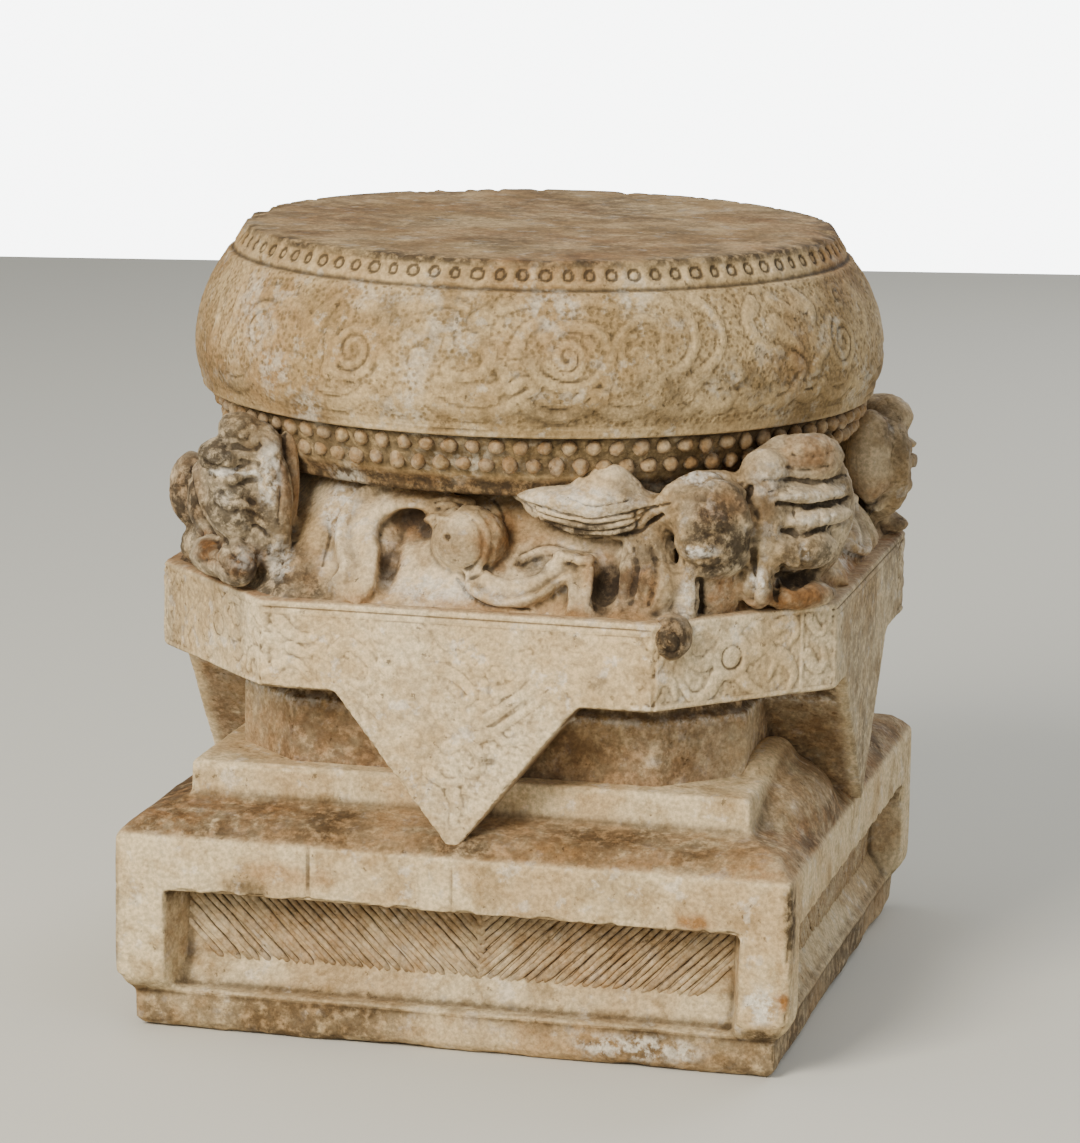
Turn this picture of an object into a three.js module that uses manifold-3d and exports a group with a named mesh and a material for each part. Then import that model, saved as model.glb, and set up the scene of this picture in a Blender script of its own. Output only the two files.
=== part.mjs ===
// A carved stone column base, one block: a drum seat with rows of studs, four crouching lions and
// ribboned balls on a sloping neck, an octagonal slab with hanging points, a waist, a step, and a
// plinth cut like a low table on a thin base slab.
// Millimetres, +Z up. The origin is the middle of the underside, and the front faces -Y.
import * as THREE from 'three';
import { mergeVertices } from 'three/addons/utils/BufferGeometryUtils.js';
import Module from 'manifold-3d';

const wasm = await Module();
wasm.setup();

// Base slab, the lowest course.
const baseWidth = 358;
const baseDepth = 378;
const baseHeight = 24;
const baseFootInset = 5;

// Plinth, cut like a table with a leg at each corner and a recess on each side.
const plinthWidth = 381;
const plinthDepth = 400;
const plinthHeight = 88;
const legWidth = 30;
const legTaper = 7;
const railHeight = 31;
const frontRecess = 28;
const sideRecess = 20;
const skirtHeight = 17;
const skirtReach = 11;

// Hipped top of the plinth, and the square step on it.
const hipRise = 16;
const hipBulgeAcross = 0.35;
const hipBulgeUp = 0.6;
const stepWidth = 318;
const stepHeight = 19.5;

// Eight-sided waist, with a set-back band under the slab.
const waistWidth = 290;
const waistFace = 207;
const waistHeight = 50.5;
const bandHeight = 15;
const bandInset = 4;

// Eight-sided slab, its main faces wider than its corner faces. The side faces run further back than forward.
const slabWidth = 388;
const slabDepth = 383;
const slabHeight = 50;
const frontFace = 218;
const sideFaceFront = 101;
const sideFaceBack = 126;
const borderDrop = 7;
const borderDepth = 1.2;

// Three-cornered points that hang from the slab's main faces.
const pointWidth = 139;

// Neck, sloping in from the slab's top edge to the drum.
const neckHeight = 60;
const neckLedge = 6;

// Drum: a cavetto, two rows of studs, a fillet, a full belly, a row of drilled pits and a flat seat. Each
// edge is set in from the belly's fullest line.
const bellyRadius = 197;
const footInset = 27;
const neckInset = 45;
const filletInset = 5;
const shoulderInset = 20;
const seatInset = 32;
const cavettoHeight = 13;
const cavettoReach = 6;
const studCount = 88;
const studHeight = 4.5;
const studRowPitch = 10.8;
const studRowReach = 4.6;
const filletHeight = 4;
const bellyLowHeight = 22;
const bellyHighHeight = 53;
const grooveDepth = 2;
const pitCount = 88;
const pitDepth = 2.4;
const shoulderHeight = 15;
const rimWear = 1.6;

// Carving on the belly: rolled clouds in two staggered rows, at shares of the belly's height.
const cloudCount = 18;
const cloudRadius = 25;
const cloudHeight = 3;
const cloudRows = [0.36, 0.68];

// Carving on the neck: a ball with ribbons on each side, and a leaf hat on the front.
const ballRadius = 20;
const ribbonWidth = 17;
const ribbonHeight = 10;
const hatWidth = 88;
const hatGap = 8;

// Crouching lions, one at each corner. Their heads rise past the drum's foot.
const lionRise = 32;
const lowLionRise = 18;
const lionWidth = 124;

// Radii of the drum and of the neck's top.
const neckTopRadius = bellyRadius - neckInset;
const drumFootRadius = bellyRadius - footInset;
const filletRadius = bellyRadius - filletInset;
const shoulderRadius = bellyRadius - shoulderInset;
const seatRadius = bellyRadius - seatInset;

// Heights of the courses above the floor.
const plinthTop = baseHeight + plinthHeight;
const stepFoot = plinthTop + hipRise;
const stepTop = stepFoot + stepHeight;
const slabBottom = stepTop + waistHeight;
const slabTop = slabBottom + slabHeight;
const neckTop = slabTop + neckHeight;

// Number of facets round the drum and up its belly.
const drumSides = 88;
const bellyRows = 8;
const quarterTurn = Math.PI / 2;

// Worn edge of a course, how far a course runs into the next, and how deep carving is rooted.
const arrisWidth = 2;
const overlap = 1;
const rooted = 8;

// Solid from a geometry, its shared corners joined.
function solidOf(geometry) {
  const bare = geometry.clone();
  bare.deleteAttribute('normal');
  bare.deleteAttribute('uv');
  const joined = mergeVertices(bare, 1e-4);
  return new wasm.Manifold(new wasm.Mesh({
    numProp: 3,
    vertProperties: new Float32Array(joined.attributes.position.array),
    triVerts: new Uint32Array(joined.index.array),
  }));
}

// Closed geometry through rings of points, lowest ring first, each ring counter-clockwise from above.
function stackRings(rings) {
  const points = rings.flat();
  const firsts = [];
  rings.reduce((start, ring, i) => {
    firsts[i] = start;
    return start + ring.length;
  }, 0);
  const faces = [];
  for (let i = 0; i + 1 < rings.length; i += 1) {
    joinRings(faces, rings[i], firsts[i], rings[i + 1], firsts[i + 1]);
  }
  closeRing(points, faces, rings[0], firsts[0], true);
  closeRing(points, faces, rings.at(-1), firsts.at(-1), false);
  const geometry = new THREE.BufferGeometry();
  geometry.setAttribute('position', new THREE.Float32BufferAttribute(points.flatMap((p) => p.toArray()), 3));
  geometry.setIndex(faces);
  return geometry;
}

// Strip of faces between two rings, each step taken along the shorter diagonal.
function joinRings(faces, low, lowFirst, high, highFirst) {
  let a = 0;
  let b = 0;
  while (a < low.length || b < high.length) {
    const lowHere = a % low.length;
    const highHere = b % high.length;
    const lowNext = (a + 1) % low.length;
    const highNext = (b + 1) % high.length;
    const lowStep = low[lowNext].distanceTo(high[highHere]);
    const highStep = low[lowHere].distanceTo(high[highNext]);
    if (b === high.length || (a < low.length && lowStep <= highStep)) {
      faces.push(lowFirst + lowHere, lowFirst + lowNext, highFirst + highHere);
      a += 1;
    } else {
      faces.push(lowFirst + lowHere, highFirst + highNext, highFirst + highHere);
      b += 1;
    }
  }
}

// Fan of faces over one end of a stack.
function closeRing(points, faces, ring, first, below) {
  const middle = ring.reduce((sum, p) => sum.add(p), new THREE.Vector3()).divideScalar(ring.length);
  const centre = points.push(middle) - 1;
  for (let k = 0; k < ring.length; k += 1) {
    const here = first + k;
    const next = first + ((k + 1) % ring.length);
    faces.push(centre, below ? next : here, below ? here : next);
  }
}

// Ring of a rectangle, at a height, drawn in from its sides by an inset.
function squareRing(width, depth, z, inset = 0) {
  const x = width / 2 - inset;
  const y = depth / 2 - inset;
  return [[x, -y], [x, y], [-x, y], [-x, -y]].map(([px, py]) => new THREE.Vector3(px, py, z));
}

// Eight-sided plans: how long the front face is, and how far a side face runs forward and back.
const waistPlan = {
  width: waistWidth,
  depth: waistWidth,
  front: waistFace,
  fore: waistFace / 2,
  aft: waistFace / 2,
};
const slabPlan = {
  width: slabWidth,
  depth: slabDepth,
  front: frontFace,
  fore: sideFaceFront,
  aft: sideFaceBack,
};

// Ring of an eight-sided plan, at a height, drawn in from its sides by an inset.
function octagonRing(plan, z, inset = 0) {
  const cornerInset = inset * Math.tan(Math.PI / 8);
  const x = plan.width / 2 - inset;
  const y = plan.depth / 2 - inset;
  const fx = plan.front / 2 - cornerInset;
  const fore = cornerInset - plan.fore;
  const aft = plan.aft - cornerInset;
  const corners = [[fx, -y], [x, fore], [x, aft], [fx, y], [-fx, y], [-x, aft], [-x, fore], [-fx, -y]];
  return corners.map(([px, py]) => new THREE.Vector3(px, py, z));
}

// Ring of the drum, with a radius that may change round the turn.
function roundRing(sides, z, radiusAt) {
  return Array.from({ length: sides }, (_, k) => {
    const angle = (k / sides) * 2 * Math.PI;
    const radius = radiusAt(k, angle);
    return new THREE.Vector3(radius * Math.cos(angle), radius * Math.sin(angle), z);
  });
}

// Ellipsoid, as a solid.
function lump(x, y, z, rx, ry, rz, sides = 8, rows = 5) {
  const geometry = new THREE.SphereGeometry(1, sides, rows).rotateX(quarterTurn).scale(rx, ry, rz);
  geometry.translate(x, y, z);
  return solidOf(geometry);
}

// Solid turned about the upright axis.
function turned(solid, angle) {
  return solid.rotate([0, 0, THREE.MathUtils.radToDeg(angle)]);
}

// Base slab with a worn lower edge.
function baseSlab() {
  return solidOf(stackRings([
    squareRing(baseWidth, baseDepth, 0, baseFootInset),
    squareRing(baseWidth, baseDepth, baseFootInset),
    squareRing(baseWidth, baseDepth, baseHeight + overlap),
  ]));
}

// Recess of one side of the plinth, seen from that side, with its skirt left standing.
function recess(sideLength, reach, depth) {
  const half = sideLength / 2 - legWidth;
  const railFoot = plinthTop - railHeight;
  const skirtTop = baseHeight + skirtHeight;
  const back = -(reach - depth);
  const profile = new THREE.Shape();
  profile.moveTo(-(reach + rooted), baseHeight);
  profile.lineTo(back - skirtReach, baseHeight);
  profile.lineTo(back, skirtTop);
  profile.lineTo(back, railFoot);
  profile.lineTo(-(reach + rooted), railFoot);
  profile.closePath();
  const geometry = new THREE.ExtrudeGeometry(profile, { depth: 2 * half, bevelEnabled: false });
  geometry.rotateX(quarterTurn).rotateZ(quarterTurn).translate(-half, 0, 0);
  return solidOf(geometry);
}

// Plinth: a block with four recesses, its legs tapering at the foot, and a hipped top.
function plinth() {
  const body = solidOf(stackRings([
    squareRing(plinthWidth, plinthDepth, baseHeight - overlap, legTaper),
    squareRing(plinthWidth, plinthDepth, baseHeight + legTaper),
    squareRing(plinthWidth, plinthDepth, plinthTop),
    squareRing(
      THREE.MathUtils.lerp(plinthWidth, stepWidth, hipBulgeAcross),
      THREE.MathUtils.lerp(plinthDepth, stepWidth, hipBulgeAcross),
      plinthTop + hipBulgeUp * hipRise,
    ),
    squareRing(stepWidth, stepWidth, stepFoot),
  ]));
  const front = recess(plinthWidth, plinthDepth / 2, frontRecess);
  const side = recess(plinthDepth, plinthWidth / 2, sideRecess);
  return body
    .subtract(front)
    .subtract(turned(front, Math.PI))
    .subtract(turned(side, quarterTurn))
    .subtract(turned(side, -quarterTurn));
}

// Square step and the eight-sided waist on it.
function waist() {
  const step = solidOf(stackRings([
    squareRing(stepWidth, stepWidth, stepFoot - overlap),
    squareRing(stepWidth, stepWidth, stepTop - arrisWidth),
    squareRing(stepWidth, stepWidth, stepTop, arrisWidth),
  ]));
  const ring = (z, inset) => octagonRing(waistPlan, z, inset);
  const bandFoot = slabBottom - bandHeight;
  return step.add(solidOf(stackRings([
    ring(stepTop - overlap, 0),
    ring(bandFoot, 0),
    ring(bandFoot + arrisWidth, bandInset),
    ring(slabBottom + overlap, bandInset),
  ])));
}

// Slab with an incised border along its upper edge.
function slab() {
  const ring = (z, inset) => octagonRing(slabPlan, z, inset);
  const border = slabTop - borderDrop;
  return solidOf(stackRings([
    ring(slabBottom, arrisWidth),
    ring(slabBottom + arrisWidth, 0),
    ring(border - borderDepth, 0),
    ring(border, borderDepth),
    ring(border + borderDepth, 0),
    ring(slabTop - arrisWidth, 0),
    ring(slabTop, arrisWidth),
  ]));
}

// Hanging point of one side: a wedge that runs back to the waist.
function hangingPoint(side) {
  const triangle = new THREE.Shape();
  triangle.moveTo(-pointWidth / 2, slabBottom + overlap);
  triangle.lineTo(0, plinthTop);
  triangle.lineTo(pointWidth / 2, slabBottom + overlap);
  triangle.closePath();
  const depth = side.reach - waistWidth / 2 + rooted;
  const geometry = new THREE.ExtrudeGeometry(triangle, { depth, bevelEnabled: false });
  geometry.rotateX(quarterTurn).translate(0, depth - side.reach, 0);
  return solidOf(geometry);
}

// Neck between the slab and the drum.
function neck() {
  const corners = octagonRing(slabPlan, slabTop - overlap, neckLedge);
  const top = corners.map((p) => p.clone().setZ(0).setLength(neckTopRadius).setZ(neckTop + overlap));
  return solidOf(stackRings([corners, top]));
}

// Distance from the axis to the neck's face below the drum, straight out of a main face.
function neckReach(reach, rise) {
  const foot = reach - neckLedge;
  const head = neckTopRadius * Math.cos(Math.PI / 8);
  return foot + (head - foot) * rise;
}

// Height of the rolled clouds on the belly, by angle and by share of the belly's height.
function cloudRelief(angle, share) {
  const pitch = (2 * Math.PI) / cloudCount;
  const bellyHeight = bellyLowHeight + bellyHighHeight;
  return Math.max(0, ...cloudRows.map((middle, row) => {
    const turn = angle / pitch + row / 2;
    const along = (turn - Math.round(turn)) * pitch * bellyRadius;
    const reach = Math.hypot(along, (share - middle) * bellyHeight) / cloudRadius;
    return cloudHeight * (1 - reach * reach);
  }));
}

// Drum with its studs, belly carving, drilled pits and worn rim.
function drum() {
  const foot = neckTop;
  const filletFoot = foot + cavettoHeight + 2 * studRowPitch;
  const bellyFoot = filletFoot + filletHeight;
  const bellyMiddle = bellyFoot + bellyLowHeight;
  const shoulder = bellyMiddle + bellyHighHeight;
  const seat = shoulder + shoulderHeight;
  const rings = [
    roundRing(drumSides, foot, () => drumFootRadius - arrisWidth),
    roundRing(drumSides, foot + arrisWidth, () => drumFootRadius),
  ];
  const studFoot = drumFootRadius + cavettoReach;
  rings.push(roundRing(drumSides, foot + cavettoHeight, () => studFoot));
  for (let row = 0; row < 2; row += 1) {
    const z = foot + cavettoHeight + (row + 0.5) * studRowPitch;
    const radius = studFoot + (row + 0.5) * studRowReach;
    rings.push(roundRing(2 * studCount, z, (k) => radius + ((k + row) % 2 ? 0 : studHeight)));
  }
  rings.push(roundRing(drumSides, filletFoot, () => studFoot + 2 * studRowReach));
  rings.push(roundRing(drumSides, filletFoot + overlap, () => filletRadius));
  rings.push(roundRing(drumSides, bellyFoot, () => filletRadius));
  for (let row = 1; row < bellyRows; row += 1) {
    const share = row / bellyRows;
    const z = bellyFoot + share * (shoulder - bellyFoot);
    const below = z < bellyMiddle;
    const reach = (z - bellyMiddle) / (below ? bellyLowHeight : bellyHighHeight);
    const edge = below ? filletRadius : shoulderRadius;
    const radius = bellyRadius - (bellyRadius - edge) * reach * reach;
    const carved = (_, angle) => radius - cloudHeight + cloudRelief(angle, share);
    rings.push(roundRing(drumSides, z, carved));
  }
  rings.push(roundRing(drumSides, shoulder - grooveDepth, () => shoulderRadius));
  rings.push(roundRing(drumSides, shoulder, () => shoulderRadius - grooveDepth));
  const bandRadius = (shoulderRadius + seatRadius) / 2;
  const pitAt = (k) => bandRadius - (k % 2 ? 0 : pitDepth);
  rings.push(roundRing(2 * pitCount, shoulder + shoulderHeight / 2, pitAt));
  const chipWaves = [5, 13, 34];
  const chips = (angle) => chipWaves.reduce((sum, waves) => sum + (rimWear / 2) * Math.sin(waves * angle), 0);
  rings.push(roundRing(drumSides, seat - arrisWidth, (_, angle) => seatRadius + arrisWidth + chips(angle)));
  rings.push(roundRing(drumSides, seat, (_, angle) => seatRadius - arrisWidth + chips(angle)));
  return solidOf(stackRings(rings));
}

// Ribbon laid on the neck of one side, through places given as shares of half the face's length, across,
// and of the neck's height, up.
function ribbon(side, places) {
  const curve = new THREE.CatmullRomCurve3(places.map(([across, rise]) => new THREE.Vector3(
    across * side.face / 2,
    -neckReach(side.reach, rise),
    slabTop + rise * neckHeight,
  )));
  const steps = 2 * (places.length - 1);
  const slope = neckReach(side.reach, 0) - neckReach(side.reach, 1);
  const outward = new THREE.Vector3(0, -neckHeight, slope).normalize();
  const edge = 0.6 * ribbonHeight;
  const rings = Array.from({ length: steps + 1 }, (_, k) => {
    const middle = curve.getPoint(k / steps);
    const across = new THREE.Vector3().crossVectors(outward, curve.getTangent(k / steps)).normalize();
    const section = [[1, -rooted], [0.8, edge], [0, ribbonHeight], [-0.8, edge], [-1, -rooted]];
    return section.map(([share, lift]) => middle.clone()
      .addScaledVector(across, share * ribbonWidth / 2)
      .addScaledVector(outward, lift));
  });
  return solidOf(stackRings(rings));
}

// Ball with a ribbon looped over it and a ribbon swung away below.
const ballRise = 0.68;
const loopedRibbon = [[-0.09, 0.95], [-0.33, 0.93], [-0.57, 0.72], [-0.61, 0.42], [-0.48, 0.2], [-0.57, 0]];
const swungRibbon = [[0.04, 0.32], [0.17, 0.1], [0.42, 0.05], [0.61, 0.3], [0.77, 0.06]];

function ballAndRibbons(side) {
  const out = -neckReach(side.reach, ballRise) - ballRadius / 4;
  return lump(0, out, slabTop + ballRise * neckHeight, ballRadius, ballRadius, ballRadius, 9, 6)
    .add(ribbon(side, loopedRibbon))
    .add(ribbon(side, swungRibbon));
}

// Leaf hat with its crown and the short draped stem under it, right of the ball. Its parts are shares
// of half its width.
function leafHat(side) {
  const half = hatWidth / 2;
  const x = ballRadius + hatGap + half;
  const y = -neckReach(side.reach, 1) - 0.4 * half;
  const brim = neckTop;
  const stem = slabTop + 0.35 * neckHeight;
  return lump(x, y, brim, half, 0.5 * half, 0.32 * half, 12, 5)
    .add(lump(x, y, brim + 0.22 * half, 0.42 * half, 0.34 * half, 0.3 * half))
    .add(lump(x + 0.35 * half, y, stem, 0.4 * half, 0.4 * half, 0.6 * half));
}

// Crouching lion, facing outward over a corner of the slab. Each part is a share of the lion's own
// width and height: across the corner, out from the corner's face, up, and its three half sizes.
function lion(shares, rise) {
  const height = neckHeight + rise;
  const corner = Math.hypot(slabWidth / 2 + frontFace / 2, slabDepth / 2 + sideFaceFront) / 2;
  const parts = shares.map(([across, out, up, halfAcross, halfOut, halfUp]) => lump(
    across * lionWidth,
    -corner - out * lionWidth,
    slabTop + up * height,
    halfAcross * lionWidth,
    halfOut * lionWidth,
    halfUp * height,
  ));
  return parts.reduce((whole, part) => whole.add(part));
}

// Lion with its head over the middle of the corner and its haunch at the far left.
const crouchingLion = [
  [0.1, -0.18, 0.63, 0.34, 0.16, 0.37],
  [0.08, -0.1, 0.71, 0.22, 0.19, 0.26],
  [0.03, 0.04, 0.62, 0.14, 0.1, 0.14],
  [-0.08, -0.19, 0.3, 0.5, 0.18, 0.38],
  [-0.14, -0.04, 0.2, 0.13, 0.14, 0.3],
  [0.22, -0.06, 0.22, 0.14, 0.14, 0.3],
  [-0.49, -0.2, 0.28, 0.2, 0.21, 0.31],
];

// Lion with its head turned to one end of the corner, its haunch rounded up beside it and a ball under
// its paw on the slab's edge.
const turnedLion = [
  [0.34, -0.21, 0.66, 0.28, 0.16, 0.36],
  [0.36, -0.13, 0.76, 0.23, 0.2, 0.27],
  [0.38, -0.02, 0.6, 0.18, 0.12, 0.18],
  [0.28, -0.17, 0.28, 0.36, 0.17, 0.4],
  [0.28, -0.06, 0.14, 0.12, 0.12, 0.22],
  [0.48, -0.1, 0.14, 0.11, 0.11, 0.22],
  [-0.08, -0.12, 0.52, 0.23, 0.19, 0.3],
  [-0.08, -0.12, 0.22, 0.19, 0.17, 0.34],
  [-0.31, -0.02, -0.04, 0.13, 0.1, 0.16],
];

// The same lion the other way round, leaning further out.
const lean = 0.025;
const mirroredLion = turnedLion.map(([across, out, ...rest]) => [-across, out + lean, ...rest]);

// The whole stone, joined as one body.
function columnBase() {
  const front = { turn: 0, reach: slabDepth / 2, face: frontFace };
  const right = { turn: quarterTurn, reach: slabWidth / 2, face: 2 * sideFaceFront };
  const back = { ...front, turn: 2 * quarterTurn };
  const left = { ...right, turn: -quarterTurn };
  let stone = baseSlab().add(plinth()).add(waist()).add(slab()).add(neck()).add(drum()).add(leafHat(front));
  for (const side of [front, right, back, left]) {
    stone = stone
      .add(turned(hangingPoint(side), side.turn))
      .add(turned(ballAndRibbons(side), side.turn));
  }
  const lions = [
    lion(turnedLion, lionRise),
    lion(mirroredLion, lowLionRise),
    lion(crouchingLion, lionRise),
    lion(crouchingLion, lionRise),
  ];
  lions.forEach((solid, k) => {
    stone = stone.add(turned(solid, quarterTurn * (k + 0.5)));
  });
  return stone;
}

// Geometry of a solid.
function geometryOf(solid) {
  const mesh = solid.getMesh();
  const geometry = new THREE.BufferGeometry();
  geometry.setAttribute('position', new THREE.Float32BufferAttribute(mesh.vertProperties, mesh.numProp));
  geometry.setIndex(Array.from(mesh.triVerts));
  geometry.computeVertexNormals();
  return geometry;
}

const stoneMaterial = new THREE.MeshStandardMaterial({ color: 0xc0a88a, roughness: 0.9, metalness: 0 });
const stoneMesh = new THREE.Mesh(geometryOf(columnBase()), stoneMaterial);
stoneMesh.name = 'column_base';

const model = new THREE.Group();
model.add(stoneMesh);

export default model;
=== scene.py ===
"""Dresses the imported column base: one block of weathered limestone with a studded drum, lions and ribboned balls.

Sizes and places are millimetres while a surface is worked out, and metres on the finished meshes.
"""
import logging
import math
from collections.abc import Iterable, Sequence
from dataclasses import dataclass
from enum import Enum

import bmesh
import bpy
import numpy as np
from mathutils import Matrix, Vector


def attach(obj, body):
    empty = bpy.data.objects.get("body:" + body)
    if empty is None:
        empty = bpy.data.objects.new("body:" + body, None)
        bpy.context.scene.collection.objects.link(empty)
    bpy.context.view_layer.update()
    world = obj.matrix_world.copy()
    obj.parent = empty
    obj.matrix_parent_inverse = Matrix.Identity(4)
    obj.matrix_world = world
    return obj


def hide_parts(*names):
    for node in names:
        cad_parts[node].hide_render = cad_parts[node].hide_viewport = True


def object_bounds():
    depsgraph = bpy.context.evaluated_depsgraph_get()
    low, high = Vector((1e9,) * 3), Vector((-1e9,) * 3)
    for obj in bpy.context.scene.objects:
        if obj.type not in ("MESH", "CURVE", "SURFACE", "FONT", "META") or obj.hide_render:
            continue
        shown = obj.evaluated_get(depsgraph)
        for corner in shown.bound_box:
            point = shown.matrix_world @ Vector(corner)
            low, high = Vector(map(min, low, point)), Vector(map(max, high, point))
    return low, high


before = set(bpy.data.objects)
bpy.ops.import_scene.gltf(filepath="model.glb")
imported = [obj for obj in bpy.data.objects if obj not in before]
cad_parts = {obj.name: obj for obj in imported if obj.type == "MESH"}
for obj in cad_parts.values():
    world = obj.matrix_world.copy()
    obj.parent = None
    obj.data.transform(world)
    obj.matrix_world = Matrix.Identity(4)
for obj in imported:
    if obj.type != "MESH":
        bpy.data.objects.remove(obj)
cad_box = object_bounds()

LOG = logging.getLogger("column_base")
MM = 0.001
NODE = "column_base"
TRIANGLE_LIMIT = 190_000

Array = np.ndarray
Place = tuple[float, ...]
Object = bpy.types.Object
Socket = bpy.types.NodeSocket


class Side(Enum):
    """The four main sides of the block, by the turn that brings the front there, in degrees."""

    FRONT = 0
    RIGHT = 90
    BACK = 180
    LEFT = 270


@dataclass(frozen=True)
class Block:
    """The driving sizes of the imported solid, in millimetres."""

    base_width: float = 358
    base_depth: float = 378
    base_height: float = 24
    plinth_width: float = 381
    plinth_depth: float = 400
    plinth_top: float = 112
    leg_width: float = 30
    leg_taper: float = 7
    rail_height: float = 31
    front_recess: float = 28
    side_recess: float = 20
    skirt_height: float = 17
    skirt_reach: float = 11
    step_foot: float = 128
    step_width: float = 318
    step_top: float = 147.5
    waist_width: float = 290
    waist_face: float = 207
    slab_bottom: float = 198
    band_height: float = 15
    band_inset: float = 4
    slab_width: float = 388
    slab_depth: float = 383
    slab_top: float = 248
    front_face: float = 218
    side_fore: float = 101
    side_aft: float = 126
    point_width: float = 139
    neck_ledge: float = 6
    neck_top: float = 308
    neck_radius: float = 152
    drum_foot_radius: float = 170
    stud_foot: float = 321
    stud_pitch: float = 10.8
    stud_reach: float = 4.6
    fillet_foot: float = 342.6
    fillet_radius: float = 192
    belly_foot: float = 346.6
    belly_middle: float = 368.6
    belly_radius: float = 197
    shoulder: float = 421.6
    shoulder_radius: float = 177
    seat: float = 436.6
    seat_radius: float = 165

    def corner_reach(self) -> float:
        """Distance from the axis to the slab's front corner faces."""
        return math.hypot(self.slab_width / 2 + self.front_face / 2, self.slab_depth / 2 + self.side_fore) / 2


BLOCK = Block()


def ramp(values: Array, low: float, high: float) -> Array:
    """Goes smoothly from 0 at low to 1 at high, where low may be the larger."""
    share = np.clip((values - low) / (high - low), 0, 1)
    return share * share * (3 - 2 * share)


def cell_value(cells: Array, seed: int) -> Array:
    """Gives each whole-number cell its own value.

    Args:
        cells: whole-number places, one row each.
        seed: which set of values.

    Returns:
        A value between 0 and 1 for each row.
    """
    primes = np.array([73856093, 19349663, 83492791])[: cells.shape[1]]
    mixed = (cells @ primes + seed * 40503) & 0x7FFFFFFF
    for _ in range(2):
        mixed = ((mixed >> 15) ^ mixed) * 0x2C1B3C6D & 0x7FFFFFFF
    return ((mixed >> 12) ^ mixed & 0xFFFF) % 65536 / 65535


def noise(points: Array, size: float, seed: int, octaves: int = 3) -> Array:
    """Smooth noise over points.

    Args:
        points: places in millimetres.
        size: size of the largest lumps in millimetres.
        seed: which noise.
        octaves: how many finer layers are added, each half the size of the last.

    Returns:
        A value between -1 and 1 for each point.
    """
    total = np.zeros(len(points))
    for octave in range(octaves):
        places = points * (2**octave / size) + 17.3 * octave
        cell = np.floor(places).astype(np.int64)
        part = places - cell
        part = part * part * (3 - 2 * part)
        for corner in np.ndindex(*(2,) * points.shape[1]):
            weight = np.prod(np.where(corner, part, 1 - part), axis=1)
            total += 0.5**octave * weight * (2 * cell_value(cell + corner, seed + octave) - 1)
    return total / (2 - 0.5 ** (octaves - 1))


def wander(points: Array, size: float, seed: int, octaves: int = 3) -> Array:
    """Shift across and up for each point, so that drawn lines waver."""
    return np.stack([noise(points, size, seed + k, octaves) for k in range(2)], 1)


def punch_marks(places: Array, pitch: float, seed: int) -> Array:
    """Distance from each place to the nearest of many scattered punch marks.

    Args:
        places: flat places in millimetres.
        pitch: mean distance between marks in millimetres.
        seed: which scatter.

    Returns:
        The distance as a share of the pitch.
    """
    cell = np.floor(places / pitch).astype(np.int64)
    nearest = np.full(len(places), 9.0)
    for step in np.ndindex(3, 3):
        near = cell + np.array(step) - 1
        mark = near + np.stack([cell_value(near, seed), cell_value(near, seed + 1)], 1)
        nearest = np.minimum(nearest, np.linalg.norm(places / pitch - mark, axis=1))
    return nearest


def curve(places: Sequence[Place], steps: int = 8) -> Array:
    """Smooth path through places.

    Args:
        places: the places that the path passes through.
        steps: how many points each stretch gets.

    Returns:
        The points of the path.
    """
    knots = np.array(places, float)
    knots = np.vstack([2 * knots[0] - knots[1], knots, 2 * knots[-1] - knots[-2]])
    t = np.linspace(0, 1, steps, endpoint=False)[:, None]
    stretches = []
    for before, start, end, after in zip(knots, knots[1:], knots[2:], knots[3:]):
        bend = 2 * before - 5 * start + 4 * end - after
        twist = 3 * (start - end) + after - before
        stretches.append(start + 0.5 * t * (end - before + t * (bend + t * twist)))
    return np.vstack([*stretches, knots[-2:-1]])


def spiral(centre: Place, radius: float, turns: float, start: float = 0, shrink: float = 0.2) -> Array:
    """Flat spiral that winds inward.

    Args:
        centre: its centre.
        radius: its outer radius.
        turns: how many turns it makes, negative for clockwise.
        start: the angle at which its outer end stands, in degrees.
        shrink: share of the radius that is left at the inner end.

    Returns:
        The points of the spiral.
    """
    share = np.linspace(0, 1, 14 + int(abs(turns) * 10))
    angle = math.radians(start) + 2 * math.pi * turns * share
    reach = radius * (1 - (1 - shrink) * share)
    return np.array(centre) + np.stack([np.cos(angle), np.sin(angle)], 1) * reach[:, None]


def path_distance(points: Array, path: Array, reach: float) -> tuple[Array, Array, Array]:
    """Distance from points to a path.

    Args:
        points: the places to measure from.
        path: the path's points.
        reach: how far from the path a place still counts.

    Returns:
        The numbers of the points within reach, their distances, and how far along the path they lie, from 0 to 1.
    """
    near = np.all((points > path.min(0) - reach) & (points < path.max(0) + reach), axis=1)
    index = np.flatnonzero(near)
    places = points[index]
    best = np.full(len(index), np.inf)
    along = np.zeros(len(index))
    for number, (start, end) in enumerate(zip(path, path[1:])):
        step = end - start
        share = np.clip((places - start) @ step / max(step @ step, 1e-9), 0, 1)
        distance = np.linalg.norm(places - start - share[:, None] * step, axis=1)
        closer = distance < best
        best = np.where(closer, distance, best)
        along = np.where(closer, number + share, along)
    close = best < reach
    return index[close], best[close], along[close] / (len(path) - 1)


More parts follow.
